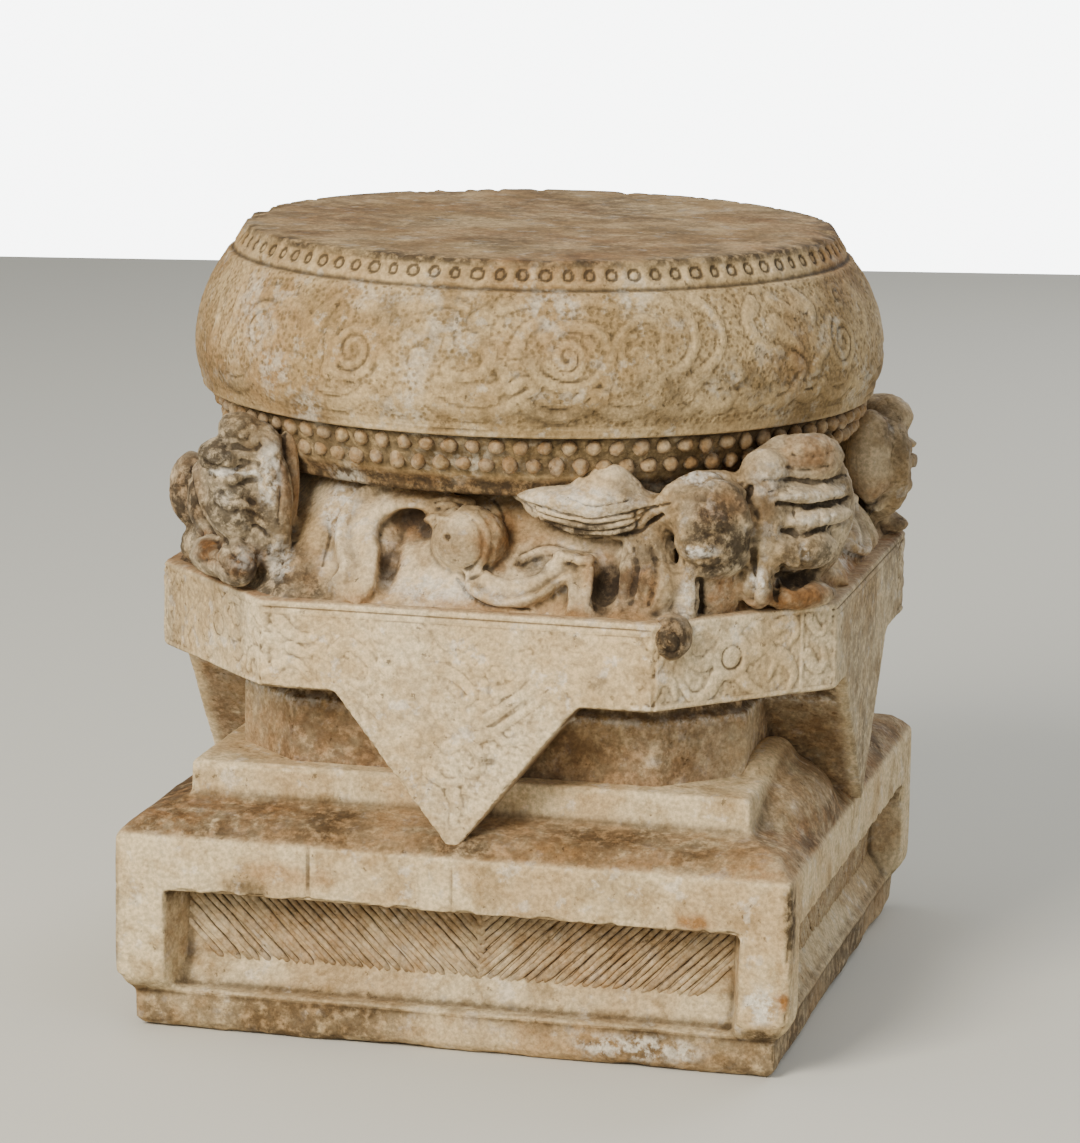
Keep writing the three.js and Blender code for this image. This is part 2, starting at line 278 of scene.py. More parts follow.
@dataclass(frozen=True)
class Cut:
    """A carved line: its path, its width and how far it stands up, or down when negative."""

    path: Array
    width: float
    height: float
    flat: float = 0.3

    def mark(self, heights: Array, points: Array) -> None:
        """Adds this line to the heights of the points near it."""
        half = self.width / 2
        index, distance, _ = path_distance(points, self.path, half)
        shape = ramp(half - distance, 0, half * (1 - self.flat))
        if self.height > 0:
            heights[index] = np.maximum(heights[index], self.height * shape)
        else:
            heights[index] = np.minimum(heights[index], self.height * shape)


def rectangle(width: float, depth: float, height: float, inset: float = 0) -> Array:
    """Ring of a rectangle at a height, counter-clockwise from above."""
    x = width / 2 - inset
    y = depth / 2 - inset
    return np.array([[x, -y, height], [x, y, height], [-x, y, height], [-x, -y, height]])


def octagon(width: float, depth: float, front: float, fore: float, aft: float, height: float, inset: float) -> Array:
    """Ring of an eight-sided plan at a height.

    Args:
        width: width over the side faces.
        depth: depth over the front and back faces.
        front: length of the front and back faces.
        fore: how far a side face runs forward.
        aft: how far a side face runs back.
        height: height above the floor.
        inset: how far the ring is drawn in from its faces.

    Returns:
        The eight corners, counter-clockwise from above.
    """
    corner = inset * math.tan(math.pi / 8)
    x = width / 2 - inset
    y = depth / 2 - inset
    f = front / 2 - corner
    near = corner - fore
    far = aft - corner
    plan = [(f, -y), (x, near), (x, far), (f, y), (-f, y), (-x, far), (-x, near), (-f, -y)]
    return np.array([(px, py, height) for px, py in plan])


def side_matrix(side: Side) -> Matrix:
    """Turn that brings the front to a side."""
    return Matrix.Rotation(math.radians(side.value), 4, "Z")


def added(name: str, data: bpy.types.ID) -> Object:
    """Adds an object to the scene."""
    made = bpy.data.objects.new(name, data)
    bpy.context.scene.collection.objects.link(made)
    return made


def paint(mesh: bpy.types.Mesh, name: str, values: Array) -> None:
    """Gives a mesh a colour attribute, one row for each point."""
    mesh.attributes.new(name, "FLOAT_COLOR", "POINT").data.foreach_set("color", np.clip(values, 0, 1).ravel())


def mesh_object(name: str, shape: bmesh.types.BMesh, scale: float = MM) -> Object:
    """Makes an object of a form in millimetres, and frees the form."""
    bmesh.ops.scale(shape, vec=(scale, scale, scale), verts=shape.verts)
    mesh = bpy.data.meshes.new(name)
    shape.to_mesh(mesh)
    shape.free()
    return added(name, mesh)


def settled(made: Object) -> Object:
    """Turns an object's modifiers into plain mesh and removes them."""
    bpy.context.view_layer.update()
    evaluated = made.evaluated_get(bpy.context.evaluated_depsgraph_get())
    mesh = bpy.data.meshes.new_from_object(evaluated)
    made.modifiers.clear()
    made.data = mesh
    return made


def joined(name: str, pieces: Sequence[Object]) -> Object:
    """Joins pieces into one object with a plain mesh."""
    shape = bmesh.new()
    for piece in pieces:
        shape.from_mesh(piece.data)
        bpy.data.objects.remove(piece)
    return mesh_object(name, shape, 1.0)


class Weather(Enum):
    """What has marked the stone, by its place in the weather attribute; the grime channel also holds painted shade and
    the lime channel painted highlights.
    """

    GRIME_AND_SHADE = 0
    OCHRE = 1
    LIME_AND_HIGHLIGHT = 2
    DUST = 3


class Clay:
    """A dense closed surface, moved point by point as carving moves stone."""

    def __init__(self, name: str, dense: Object) -> None:
        """Takes a dense closed surface.

        Args:
            name: name of the finished piece.
            dense: the surface, as an object in metres.
        """
        self.object = dense
        self.object.name = name
        self.object.data.name = name
        mesh = self.object.data
        self.points = np.empty((len(mesh.vertices), 3))
        mesh.vertices.foreach_get("co", self.points.ravel())
        self.points /= MM
        self.links = np.empty((len(mesh.edges), 2), np.int64)
        mesh.edges.foreach_get("vertices", self.links.ravel())
        self.degree = np.bincount(self.links.ravel(), minlength=len(self.points)).clip(1)
        self.weather = np.zeros((len(self.points), 4))

    def spread(self, values: Array) -> Array:
        """Mean of the neighbours' values, for each point."""
        start, end = self.links.T
        count = len(self.points)
        total = [np.bincount(start, v[end], count) + np.bincount(end, v[start], count) for v in values.T]
        return np.stack(total, 1) / self.degree[:, None]

    def relax(self, times: int, amount: float = 0.6, mask: Array | None = None) -> None:
        """Wears the surface smooth, everywhere or where a mask says."""
        share = amount if mask is None else amount * mask[:, None]
        for _ in range(times):
            self.points += share * (self.spread(self.points) - self.points)

    def normals(self) -> Array:
        """Outward direction at each point."""
        mesh = self.object.data
        mesh.vertices.foreach_set("co", (self.points * MM).ravel())
        mesh.update()
        out = np.empty((len(self.points), 3))
        mesh.vertex_normals.foreach_get("vector", out.ravel())
        return out

    def push(self, heights: Array, index: Array | slice = slice(None)) -> None:
        """Moves points along their outward directions, all of them or those that an index names."""
        self.points[index] += self.normals()[index] * heights[:, None]

    def mark(self, weather: Weather, amount: Array, index: Array | slice = slice(None)) -> None:
        """Gives points, all or those that an index names, at least this much of a kind of weather."""
        column = self.weather[:, weather.value]
        column[index] = np.maximum(column[index], amount)

    def noise(self, size: float, seed: int, octaves: int = 3) -> Array:
        """Smooth noise at each point."""
        return noise(self.points, size, seed, octaves)

    def hollow(self, times: int) -> Array:
        """How far each point lies below its smoothed surroundings, in millimetres."""
        calm = self.points.copy()
        for _ in range(times):
            calm += 0.7 * (self.spread(calm) - calm)
        return np.sum((calm - self.points) * self.normals(), axis=1)

    def finished(self, limit: int) -> Object:
        """Writes the surface back, thins it and smooths its shading.

        Args:
            limit: most triangles that it may keep.

        Returns:
            The finished object, with its weather in an attribute.
        """
        low = np.array(cad_box[0]) / MM
        high = np.array(cad_box[1]) / MM
        fine = self.hollow(6)
        broad = self.hollow(30)
        self.points = np.clip(self.points, low, high)
        self.normals()
        mesh = self.object.data
        paint(mesh, "weather", self.weather)
        # The relief attribute holds hollow depths that the material turns into painted shade in hollows and a painted
        # highlight on raised carving.
        paint(mesh, "relief", np.stack([0.5 + fine / 1.6, 0.5 + broad / 6, 0 * fine, 0 * fine + 1], 1))
        triangles = sum(len(face.vertices) - 2 for face in mesh.polygons)
        if triangles > limit:
            thin = self.object.modifiers.new("thinned", "DECIMATE")
            thin.ratio = limit / triangles
            settled(self.object)
            kept = np.clip(mesh_points(self.object), low, high) * MM
            self.object.data.vertices.foreach_set("co", kept.ravel())
        self.object.data.shade_smooth()
        LOG.info("%s: %d triangles dense, limit %d", self.object.name, triangles, limit)
        return self.object


@dataclass(frozen=True)
class Band:
    """A smooth raised band: its middle line, and its width at the start and at the end."""

    path: Array
    start: float
    end: float


class Tracery:
    """Smooth raised bands on a sunk, stippled ground, all laid out on one flat face."""

    def __init__(self, bands: Iterable[Band]) -> None:
        """Takes the bands."""
        self.bands = list(bands)

    def edge_distance(self, places: Array) -> Array:
        """Distance from each place to the nearest band's edge, negative inside a band."""
        edge = np.full(len(places), 20.0)
        for band in self.bands:
            index, distance, along = path_distance(places, band.path, max(band.start, band.end) / 2 + 5)
            width = band.start + (band.end - band.start) * along
            edge[index] = np.minimum(edge[index], distance - width / 2)
        return edge

    def relief(self, places: Array, depth: float, seed: int) -> tuple[Array, Array]:
        """Heights of the carving.

        Args:
            places: flat places in millimetres.
            depth: how far the ground is sunk.
            seed: which stipple.

        Returns:
            The heights, 0 on the bands and negative on the ground, and how much of each place is ground.
        """
        edge = self.edge_distance(places)
        ground = ramp(edge, -0.9, 0.8)
        outline = np.exp(-((edge - 0.7) ** 2) / 0.9)
        marks = punch_marks(places, 3.8, seed)
        stipple = 0.5 * ramp(0.55 - marks, 0, 0.4) * ramp(edge, 0.6, 2)
        crown = 0.3 * depth * ramp(-edge, 0, 3.5)
        return crown - ground * 0.7 * depth - 0.45 * depth * outline - stipple, ground


def leaf_scroll(centre: Place, size: float, turn: float, flip: bool = False) -> list[Band]:
    """Rolled leaf with a curled head, a tail and small lobes along its back.

    Args:
        centre: the middle of its curl.
        size: its height in millimetres.
        turn: how far it is turned, in degrees.
        flip: whether it is the other way round.

    Returns:
        Its bands.
    """
    lines = [
        (spiral((0, 0), 0.3, 1.5, 200, 0.15), 0.15, 0.09),
        (curve([(-0.28, -0.1), (-0.2, -0.42), (0.12, -0.56), (0.46, -0.44), (0.62, -0.16)]), 0.19, 0.04),
        (curve([(0.36, 0.1), (0.42, 0.32), (0.26, 0.52), (0.02, 0.58)]), 0.17, 0.05),
        (curve([(-0.3, 0.26), (-0.46, 0.38), (-0.62, 0.3)]), 0.15, 0.06),
        (curve([(-0.38, -0.24), (-0.58, -0.3), (-0.66, -0.14)]), 0.15, 0.06),
        (curve([(0.54, 0.02), (0.66, 0.2), (0.6, 0.38)]), 0.12, 0.04),
        (curve([(-0.06, 0.42), (-0.2, 0.56), (-0.38, 0.6)]), 0.11, 0.04),
    ]
    c, w = math.cos(math.radians(turn)), math.sin(math.radians(turn))
    bands = []
    for path, start, end in lines:
        x, y = (path * [-1 if flip else 1, 1]).T * size
        path = np.stack([centre[0] + c * x - w * y, centre[1] + w * x + c * y], 1)
        bands.append(Band(path, start * size, end * size))
    return bands


def arc(centre: Place, radius: float, start: float, end: float) -> Array:
    """Part of a circle between two angles in degrees."""
    angle = np.radians(np.linspace(start, end, 4 + int(abs(end - start) / 12)))
    return np.array(centre) + radius * np.stack([np.cos(angle), np.sin(angle)], 1)


@dataclass(frozen=True)
class Stain:
    """A mark on the stone, on the flat drawing of a side: where, how far it reaches, and how strong it is."""

    weather: Weather
    place: Place
    reach: Place
    strength: float = 0.8


@dataclass(frozen=True)
class Lump:
    """An ellipsoid of a figure: its middle, its half sizes and how far it leans across, in degrees."""

    place: Place
    half: Place
    lean: float = 0


@dataclass(frozen=True)
class Figure:
    """A carved figure in its own frame: across its corner, out from the corner's face, and above the slab.

    Its lines and stains are drawn flat, as seen from one side: view is the turn of that side, in degrees.
    """

    view: float
    dirt: float
    lumps: tuple[Lump, ...]
    lines: tuple[Cut, ...]
    stains: tuple[Stain, ...]

    def mirrored(self) -> "Figure":
        """The same figure the other way round."""
        flip = np.array([-1, 1])
        return Figure(
            -self.view,
            self.dirt,
            tuple(Lump((-k.place[0], *k.place[1:]), k.half, -k.lean) for k in self.lumps),
            tuple(Cut(k.path * flip, k.width, k.height, k.flat) for k in self.lines),
            tuple(Stain(k.weather, (-k.place[0], k.place[1]), k.reach, k.strength) for k in self.stains),
        )

    def drawing(self, vectors: Array) -> tuple[Array, Array]:
        """Splits places or directions of the figure's frame.

        Args:
            vectors: across, out and up, one row each.

        Returns:
            Across and up on the flat drawing, and how far each lies towards its viewer.
        """
        c, w = math.cos(math.radians(self.view)), math.sin(math.radians(self.view))
        across = c * vectors[:, 0] + w * vectors[:, 1]
        return np.stack([across, vectors[:, 2]], 1), c * vectors[:, 1] - w * vectors[:, 0]


@dataclass(frozen=True)
class Perch:
    """Where a figure stands: the turn of its corner in degrees, how its height is scaled, how far it leans out."""

    turn: float
    rise: float = 1.0
    lean: float = 0.0

    def matrix(self) -> Matrix:
        """From the figure's frame, with across, out and up as its axes, to the block's."""
        reach = BLOCK.corner_reach() + self.lean
        rows = ((1, 0, 0, 0), (0, -1, 0, -reach), (0, 0, self.rise, BLOCK.slab_top), (0, 0, 0, 1))
        return Matrix.Rotation(math.radians(self.turn), 4, "Z") @ Matrix(rows)

    def inward(self, vectors: Array, places: bool = True) -> Array:
        """Brings places, or directions, from the block's frame into the figure's."""
        turn = np.array(self.matrix().inverted())
        return vectors @ turn[:3, :3].T + (turn[:3, 3] if places else 0)


def ellipsoids(*rows: Place) -> tuple[Lump, ...]:
    """Ellipsoids from rows of middle, half sizes and, where one leans, its lean."""
    return tuple(Lump(row[:3], row[3:6], *row[6:]) for row in rows)


def blots(weather: Weather, *rows: Place) -> tuple[Stain, ...]:
    """Stains of one kind, from rows of place, reach and strength."""
    return tuple(Stain(weather, row[:2], row[2:4], row[4]) for row in rows)


def line(places: Sequence[Place], width: float, height: float) -> Cut:
    """A smooth carved line."""
    return Cut(curve(places, 6), width, height, 0.2)


def dot(x: float, y: float, width: float, height: float) -> Cut:
    """A drilled dot."""
    return Cut(np.array([(x - 0.3, y), (x + 0.3, y)]), width, height, 0.4)


HAUNCHED_LION = Figure(
    view=-58.3,
    dirt=0.85,
    lumps=(
        *ellipsoids(
            (8, -18, 44, 40, 17, 46), (20, -16, 68, 19, 15, 24), (16, -7, 87, 13, 12, 10),
            (17, 7, 73, 14, 10.5, 9.5), (20, 4, 60, 14, 11, 6), (30, -18, 64, 9, 8, 21), (25, -33, 58, 8, 6, 32),
            (20, 0, 45, 16, 14, 20), (-46, -10, 43, 15, 13, 22), (-18, -10, 42, 22, 14, 26),
            (-34, -10, 13, 16, 12, 11), (6, 0, 14, 24, 14, 12), (30, 2, 14, 14, 12, 13), (28, -26, 12, 12, 9, 16),
        ),
    ),
    lines=(
        line([(-8, 69), (4, 65), (11, 62.4), (19, 64.3), (27, 66.5)], 4.4, 2.1),
        line([(-7, 72), (4, 68.4), (12, 66), (16, 67.4)], 3.6, -2),
        line([(-6, 65), (4, 61), (12, 58.4), (20, 60.2), (27, 62)], 5, -2.2),
        Cut(spiral((3.5, 75.5), 7.5, 1.3, 200, 0.3), 3.2, -1.3, 0.1),
        line([(17.5, 69.5), (21, 70.5), (25, 69)], 8, -3),
        line([(8, 80.5), (14, 77.5), (22, 77), (28, 80)], 4.6, -2.4),
        dot(9, 87, 5.5, 1.5), dot(15, 91, 5.5, 1.5), dot(16, 84.5, 5.5, 1.5), dot(22, 88, 5.5, 1.5),
        dot(24, 82, 5, 1.4),
        line([(29, 82), (34, 77), (30.5, 71), (35, 66), (31, 60), (34, 54)], 5, 1.9),
        line([(38.5, 84), (39, 70), (38.5, 54), (37, 38)], 4, -1.8),
        line([(-11.4, 58), (-6.7, 43), (-1, 32), (8.4, 24)], 5, 2.2),
        line([(-15.4, 57), (-11, 42), (-5, 30), (3, 22)], 4.4, -2.2),
        line([(-3, 43), (8.4, 33.5), (18.8, 22.3)], 4.4, 1.6), line([(-5, 38), (5, 29), (15, 19.5)], 5, -2.4),
        line([(4, 55), (10, 51), (18, 52), (24, 49)], 5, -1.8),
        line([(2, 48), (10, 44), (20, 45), (28, 41)], 5, -1.8), line([(24, 36), (30, 30), (31, 20)], 6, -2.6),
        line([(42, 36), (42.5, 24), (40, 12)], 3.6, 1.6), line([(-8, 12), (2, 16), (10, 10)], 4, -1.4),
    ),
    stains=(
        *blots(
            Weather.GRIME_AND_SHADE, (4, 74, 15, 13, 1.0), (16, 88, 15, 11, 0.9), (12, 47, 20, 20, 0.95),
            (-20, 40, 18, 26, 1.0), (30, 30, 10, 12, 0.6),
        ),
        *blots(
            Weather.OCHRE, (-17, 46, 14, 24, 0.55), (43, 60, 8, 28, 0.7), (-2, 19, 12, 9, 1.0),
            (18, 17, 14, 10, 0.85),
        ),
        *blots(
            # The thin rows at (10, 65) and (32, 63) sit on raised ridges and are painted highlights; the others are
            # lime.
            Weather.LIME_AND_HIGHLIGHT, (20, 19, 9, 7, 0.35), (32, 63, 7, 20, 0.6), (10, 65, 18, 2.4, 0.9), (38, 17, 8, 12, 0.55),
        ),
    ),
)

TURNED_LION = Figure(
    view=31.7,
    dirt=0.42,
    lumps=(
        *ellipsoids(
            (40, -14, 50, 42, 17, 44), (66, -30, 52, 16, 14, 38), (46, -6, 80, 22, 14, 15), (17, -6, 76, 14, 12, 13),
            (40, 3, 62.5, 25, 9.5, 5.5, 3), (47, 4, 50, 22, 9.5, 6.5, -1), (38, 4, 32.5, 21, 11, 11.5),
            (16, -4, 44, 13, 11, 34), (10, 0, 14, 9, 10, 13), (40, -2, 6, 24, 12, 8), (-14, -5, 46, 26, 17, 28),
            (-12, -18, 58, 32, 15, 19), (-8, -12, 14, 16, 11, 18), (-30, -9, 12, 7, 10, 22),
            (-44, -1, -9, 13, 9.5, 13.5),
        ),
    ),
    lines=(
        dot(15, 66, 7, 2), dot(15, 66, 2.6, -1.4), line([(12, 71.8), (28, 71), (44, 69.2), (58, 68.6)], 3.8, -2),
        line([(19, 58.6), (34, 57.2), (48, 56.8), (60, 57.4)], 4.4, -4),
        line([(22, 44.5), (34, 42.4), (48, 43.6), (60, 46)], 4, -3),
        line([(28, 53.5), (29, 47)], 2.4, -1), line([(34, 53), (35, 46)], 2.4, -1),
        line([(41, 53.4), (42, 46)], 2.4, -1),
        line([(48, 53.5), (48, 47)], 2.4, -1), line([(26, 64.5), (40, 62.6), (56, 62)], 2, 0.9),
        line([(33, 43), (33.5, 34), (32, 24)], 5, -1.4), line([(20, 17.5), (30, 15), (42, 18)], 9, -4.4),
        line([(22, 24), (20.5, 14), (20, 4)], 5, -3), line([(3, 66), (6.5, 48), (6, 28), (5, 8)], 6.5, -4.4),
        line([(24, 78), (34, 76), (46, 78)], 4, -1.4), line([(26, 86), (36, 83.5), (48, 85)], 3.6, -1.2),
        line([(-47, 62), (-38, 70), (-26, 74.5), (-13, 72), (-3, 64), (3, 52)], 6.5, 2.2),
        line([(-30, 48), (-21, 46.5), (-12, 49)], 7, -1.4), line([(-31, 38), (-22, 39.5), (-13, 37)], 8, 1.6),
        line([(-32, 31), (-18, 27.5), (-4, 30)], 6, -2), line([(-22, 21), (-22.5, 10), (-21, -2)], 6, -4),
        Cut(spiral((-38, -9), 9, 1.5, 90, 0.2), 2.6, -1.3, 0.1),
    ),
    stains=(
        *blots(
            Weather.OCHRE, (38, 86, 17, 11, 0.75), (9, 62, 10, 20, 0.35), (30, 6, 24, 8, 0.95),
            (-14, 60, 18, 12, 0.6), (-10, 12, 12, 12, 0.9),
        ),
        *blots(
            # The thin rows at (38, 62.6), (-24, 37.5) and (-28, 74) sit on raised ridges and are painted highlights;
            # the others are lime.
            Weather.LIME_AND_HIGHLIGHT, (12, 74, 11, 10, 0.35), (38, 62.6, 22, 3, 0.55), (42, 50, 18, 4, 0.5), (34, 35, 4, 6, 0.6),
            (8, 18.5, 6.5, 8, 1.0), (-24, 37.5, 9, 4, 1.0), (-28, 74, 22, 3.5, 0.7), (-30, 12, 5, 14, 0.6),
        ),
        *blots(
            # The thin rows at (40, 57.2) and (41, 43.5) and the blots at (28, 17), (-12, 29) and (-22, 8) sit in
            # carved grooves and are painted shade; the others are grime.
            Weather.GRIME_AND_SHADE, (40, 57.2, 24, 2.6, 0.95), (41, 43.5, 22, 2.6, 0.85), (33, 32, 21, 12, 0.85),
            (28, 17, 16, 6, 1.0), (66, 60, 16, 32, 0.6), (30, 76, 26, 12, 0.35), (-14, 47, 23, 26, 1.0),
            (-12, 29, 22, 9, 1.0), (-22, 8, 4, 14, 0.9), (-38, -10, 17, 17, 1.0),
        ),
    ),
)


@dataclass(frozen=True)
class Finish:
    """How one course of the limestone looks: its colours as sRGB hex, and how rough its surface is. The grime colour
    also serves as painted shade and the lime colour as painted highlight.
    """

    name: str
    pale: str
    main: str
    deep: str
    grime_and_shade: str
    ochre: str
    lime_and_highlight: str
    mottle: float = 0.5
    pit: float = 0.5
    tooling: float = 0.0


DRUM_FINISH = Finish(
    "weathered limestone, drum", "#c0a67a", "#9d8258", "#6f5a38", "#2f2416", "#8c5f34", "#cfc6b0", 0.5, 0.6
)
NECK_FINISH = Finish(
    "weathered limestone, neck", "#d6c19c", "#b0956c", "#7c6240", "#241a0f", "#8b6034", "#d8d0c0", 0.45, 0.6
)
SLAB_FINISH = Finish(
    "weathered limestone, slab", "#dfcaa2", "#ceb387", "#a1845a", "#3f2d17", "#94653a", "#e8e0cf", 0.45, 0.35
)
PLINTH_FINISH = Finish(
    "weathered limestone, plinth", "#d8c298", "#c2a67b", "#8c6f45", "#3a2913", "#8e602f", "#e4d9c2", 0.5, 0.45, 1.0
)


def linear(hex_colour: str) -> tuple[float, float, float, float]:
    """sRGB hex to linear colour with full alpha."""
    parts = [int(hex_colour[k : k + 2], 16) / 255 for k in (1, 3, 5)]
    return (*(p / 12.92 if p <= 0.04045 else ((p + 0.055) / 1.055) ** 2.4 for p in parts), 1.0)


def add_node(
    tree: bpy.types.NodeTree, kind: str, links: dict[int | str, object] | None = None, out: int | str = 0, **settings
) -> Socket | None:
    """Adds a node with its settings and its inputs.

    Args:
        tree: the tree that gets the node.
        kind: the node's type.
        links: input number or name to a socket to link, or to a constant to set there.
        out: number or name of the wanted output.
        settings: the node's own settings.

    Returns:
        The wanted output, where the node has outputs.
    """
    node = tree.nodes.new(kind)
    for key, value in settings.items():
        setattr(node, key, value)
    for key, value in (links or {}).items():
        if isinstance(value, bpy.types.NodeSocket):
            tree.links.new(value, node.inputs[key])
        else:
            node.inputs[key].default_value = value
    return node.outputs[out] if node.outputs else None


class Kind(Enum):
    """Nodes of the stone's material: the type, the inputs in the order in which they are given, and the settings."""

    NOISE = ("ShaderNodeTexNoise", ("Vector", "Scale", "Detail", "Roughness"), {})
    CELLS = ("ShaderNodeTexVoronoi", ("Vector", "Scale"), {"out": "Distance"})
    RANGE = ("ShaderNodeMapRange", range(5), {"interpolation_type": "SMOOTHSTEP"})
    MULTIPLY = ("ShaderNodeMath", range(2), {"operation": "MULTIPLY"})
    ADD = ("ShaderNodeMath", range(2), {"operation": "ADD"})
    MAXIMUM = ("ShaderNodeMath", range(2), {"operation": "MAXIMUM"})
    MIX = ("ShaderNodeMix", (0, 6, 7), {"out": 2, "data_type": "RGBA", "blend_type": "MIX"})
    TINT = ("ShaderNodeMix", (0, 6, 7), {"out": 2, "data_type": "RGBA", "blend_type": "MULTIPLY"})
    GREY = ("ShaderNodeCombineColor", range(3), {})
    SPLIT = ("ShaderNodeSeparateColor", range(1), {})
    STRETCH = ("ShaderNodeMapping", (0, 3), {})


class StoneMaterial:
    """Limestone seen through its weather: painted shade in the hollows and a painted highlight on raised carving, with
    ochre, grime and lime where the piece says.
    """

    def __init__(self, finish: Finish) -> None:
        """Makes the material of a finish."""
        self.finish = finish
        self.material = bpy.data.materials.new(finish.name)
        self.material.use_nodes = True
        self.tree = self.material.node_tree
        self.tree.nodes.clear()
        self.place = add_node(self.tree, "ShaderNodeTexCoord", out="Object")
        self.build()

    def add(self, kind: Kind, *values: Socket | float | tuple) -> Socket:
        """Adds one of the material's nodes, with its inputs in that kind's order, and gives its result."""
        type_name, inputs, settings = kind.value
        return add_node(self.tree, type_name, dict(zip(inputs, values)), **settings)

    def build(self) -> None:
        """Builds the node tree."""
        finish, add, place = self.finish, self.add, self.place
        relief = add_node(self.tree, "ShaderNodeAttribute", attribute_name="relief")
        weather = add_node(self.tree, "ShaderNodeAttribute", attribute_name="weather")
        form = add(Kind.SPLIT, relief).node.outputs
        marks = add(Kind.SPLIT, weather).node.outputs
        marks_dust = weather.node.outputs["Alpha"]
        blotch = add(Kind.NOISE, place, 1 / (55 * MM), 4, 0.55)
        crust = add(Kind.NOISE, place, 1 / (30 * MM), 6, 0.65)
        patch = add(Kind.NOISE, place, 1 / (13 * MM), 5, 0.65)
        grain = add(Kind.NOISE, place, 1 / (2.6 * MM), 3, 0.7)
        colour = add(Kind.MIX, add(Kind.RANGE, blotch, 0.4, 0.6), linear(finish.main), linear(finish.pale))
        colour = add(Kind.MIX, add(Kind.RANGE, crust, 0.5, 0.64, 0, finish.mottle), colour, linear(finish.deep))
        colour = add(Kind.MIX, add(Kind.RANGE, patch, 0.52, 0.68, 0, 0.9 * finish.mottle), colour, linear(finish.deep))
        colour = add(Kind.MIX, add(Kind.RANGE, patch, 0.44, 0.34, 0, 0.4), colour, linear(finish.lime_and_highlight))
        # The relief attribute gives painted light: hollows are darkened towards the grime colour as painted shade,
        # raised carving is paled as a painted highlight.
        fine = add(Kind.RANGE, form[0], 0.5, 0.86)
        broad = add(Kind.RANGE, form[1], 0.5, 0.95)
        raised_highlight = add(Kind.RANGE, form[0], 0.46, 0.2, 0, 0.35)
        colour = add(Kind.MIX, raised_highlight, colour, linear(finish.pale))
        # Grime channel: real grime, and painted shade where the pieces put it.
        soot_and_shade = add(Kind.RANGE, add(Kind.NOISE, place, 1 / (7 * MM), 5, 0.7), 0.34, 0.56, 0.3, 1)
        soot_and_shade = add(Kind.MULTIPLY, marks[0], soot_and_shade)
        rust = add(Kind.RANGE, add(Kind.NOISE, place, 1 / (11 * MM), 4, 0.65), 0.3, 0.6, 0.3, 1)
        rust = add(Kind.MULTIPLY, marks[1], rust)
        # Lime channel: pale lime, and painted highlights on some ridges.
        chalk_and_highlight = add(Kind.RANGE, add(Kind.NOISE, place, 1 / (6 * MM), 4, 0.65), 0.4, 0.6)
        chalk_and_highlight = add(Kind.MULTIPLY, marks[2], chalk_and_highlight)
        ground = add(Kind.MULTIPLY, marks_dust, 0.22)
        colour = add(Kind.MIX, ground, colour, linear(finish.main))
        colour = add(Kind.MIX, rust, colour, linear(finish.ochre))
        colour = add(Kind.MIX, add(Kind.MULTIPLY, soot_and_shade, 0.9), colour, linear(finish.grime_and_shade))
        # Painted shade in fine and broad hollows.
        sunk = add(Kind.MAXIMUM, add(Kind.MULTIPLY, fine, 0.8), add(Kind.MULTIPLY, broad, 0.6))
        colour = add(Kind.MIX, sunk, colour, linear(finish.grime_and_shade))
        colour = add(Kind.MIX, chalk_and_highlight, colour, linear(finish.lime_and_highlight))
        stipple = add(Kind.MULTIPLY, marks_dust, add(Kind.RANGE, self.dimples(), 0.2, 0.5, 0.65, 0))
        colour = add(Kind.MIX, stipple, colour, linear(finish.deep))
        spots = add(Kind.RANGE, add(Kind.NOISE, place, 1 / (5 * MM), 3, 0.6), 0.64, 0.7)
        spots = add(Kind.MULTIPLY, spots, add(Kind.RANGE, crust, 0.45, 0.55))
        colour = add(Kind.MIX, add(Kind.MULTIPLY, spots, 0.6), colour, linear(finish.grime_and_shade))
        fleck = add(Kind.RANGE, grain, 0.3, 0.72, 0.72, 1.2)
        colour = add(Kind.TINT, 1.0, colour, add(Kind.GREY, fleck, fleck, fleck))
        bumps = add(Kind.ADD, add(Kind.MULTIPLY, grain, 0.5), add(Kind.MULTIPLY, self.pits(), finish.pit))
        sunk_dots = add(Kind.MULTIPLY, marks_dust, add(Kind.RANGE, self.dimples(), 0.15, 0.55))
        bumps = add(Kind.ADD, bumps, add(Kind.MULTIPLY, sunk_dots, 0.9))
        if finish.tooling:
            bumps = add(Kind.ADD, bumps, add(Kind.MULTIPLY, self.tool_lines(), 0.25 * finish.tooling))
        bump = add_node(self.tree, "ShaderNodeBump", {"Strength": 0.55, "Distance": 0.0009, "Height": bumps})
        rough = add(Kind.RANGE, patch, 0.3, 0.7, 0.8, 0.95)
        links = {"Base Color": colour, "Roughness": rough, "Specular IOR Level": 0.25, "Normal": bump}
        shader = add_node(self.tree, "ShaderNodeBsdfPrincipled", links)
        add_node(self.tree, "ShaderNodeOutputMaterial", {0: shader})

    def dimples(self) -> Socket:
        """Distance to the middle of the nearest small punch mark."""
        return self.add(Kind.CELLS, self.place, 1 / (3.2 * MM))

    def pits(self) -> Socket:
        """Small scattered pits, 0 in a pit and 1 elsewhere."""
        return self.add(Kind.RANGE, self.add(Kind.CELLS, self.place, 1 / (4.2 * MM)), 0.05, 0.4)

    def tool_lines(self) -> Socket:
        """Fine upright tooling, as bands across the block that noise breaks up."""
        spread = self.add(Kind.STRETCH, self.place, (1.0, 1.0, 0.12))
        return self.add(Kind.NOISE, spread, 1 / (2.8 * MM), 2, 0.6)


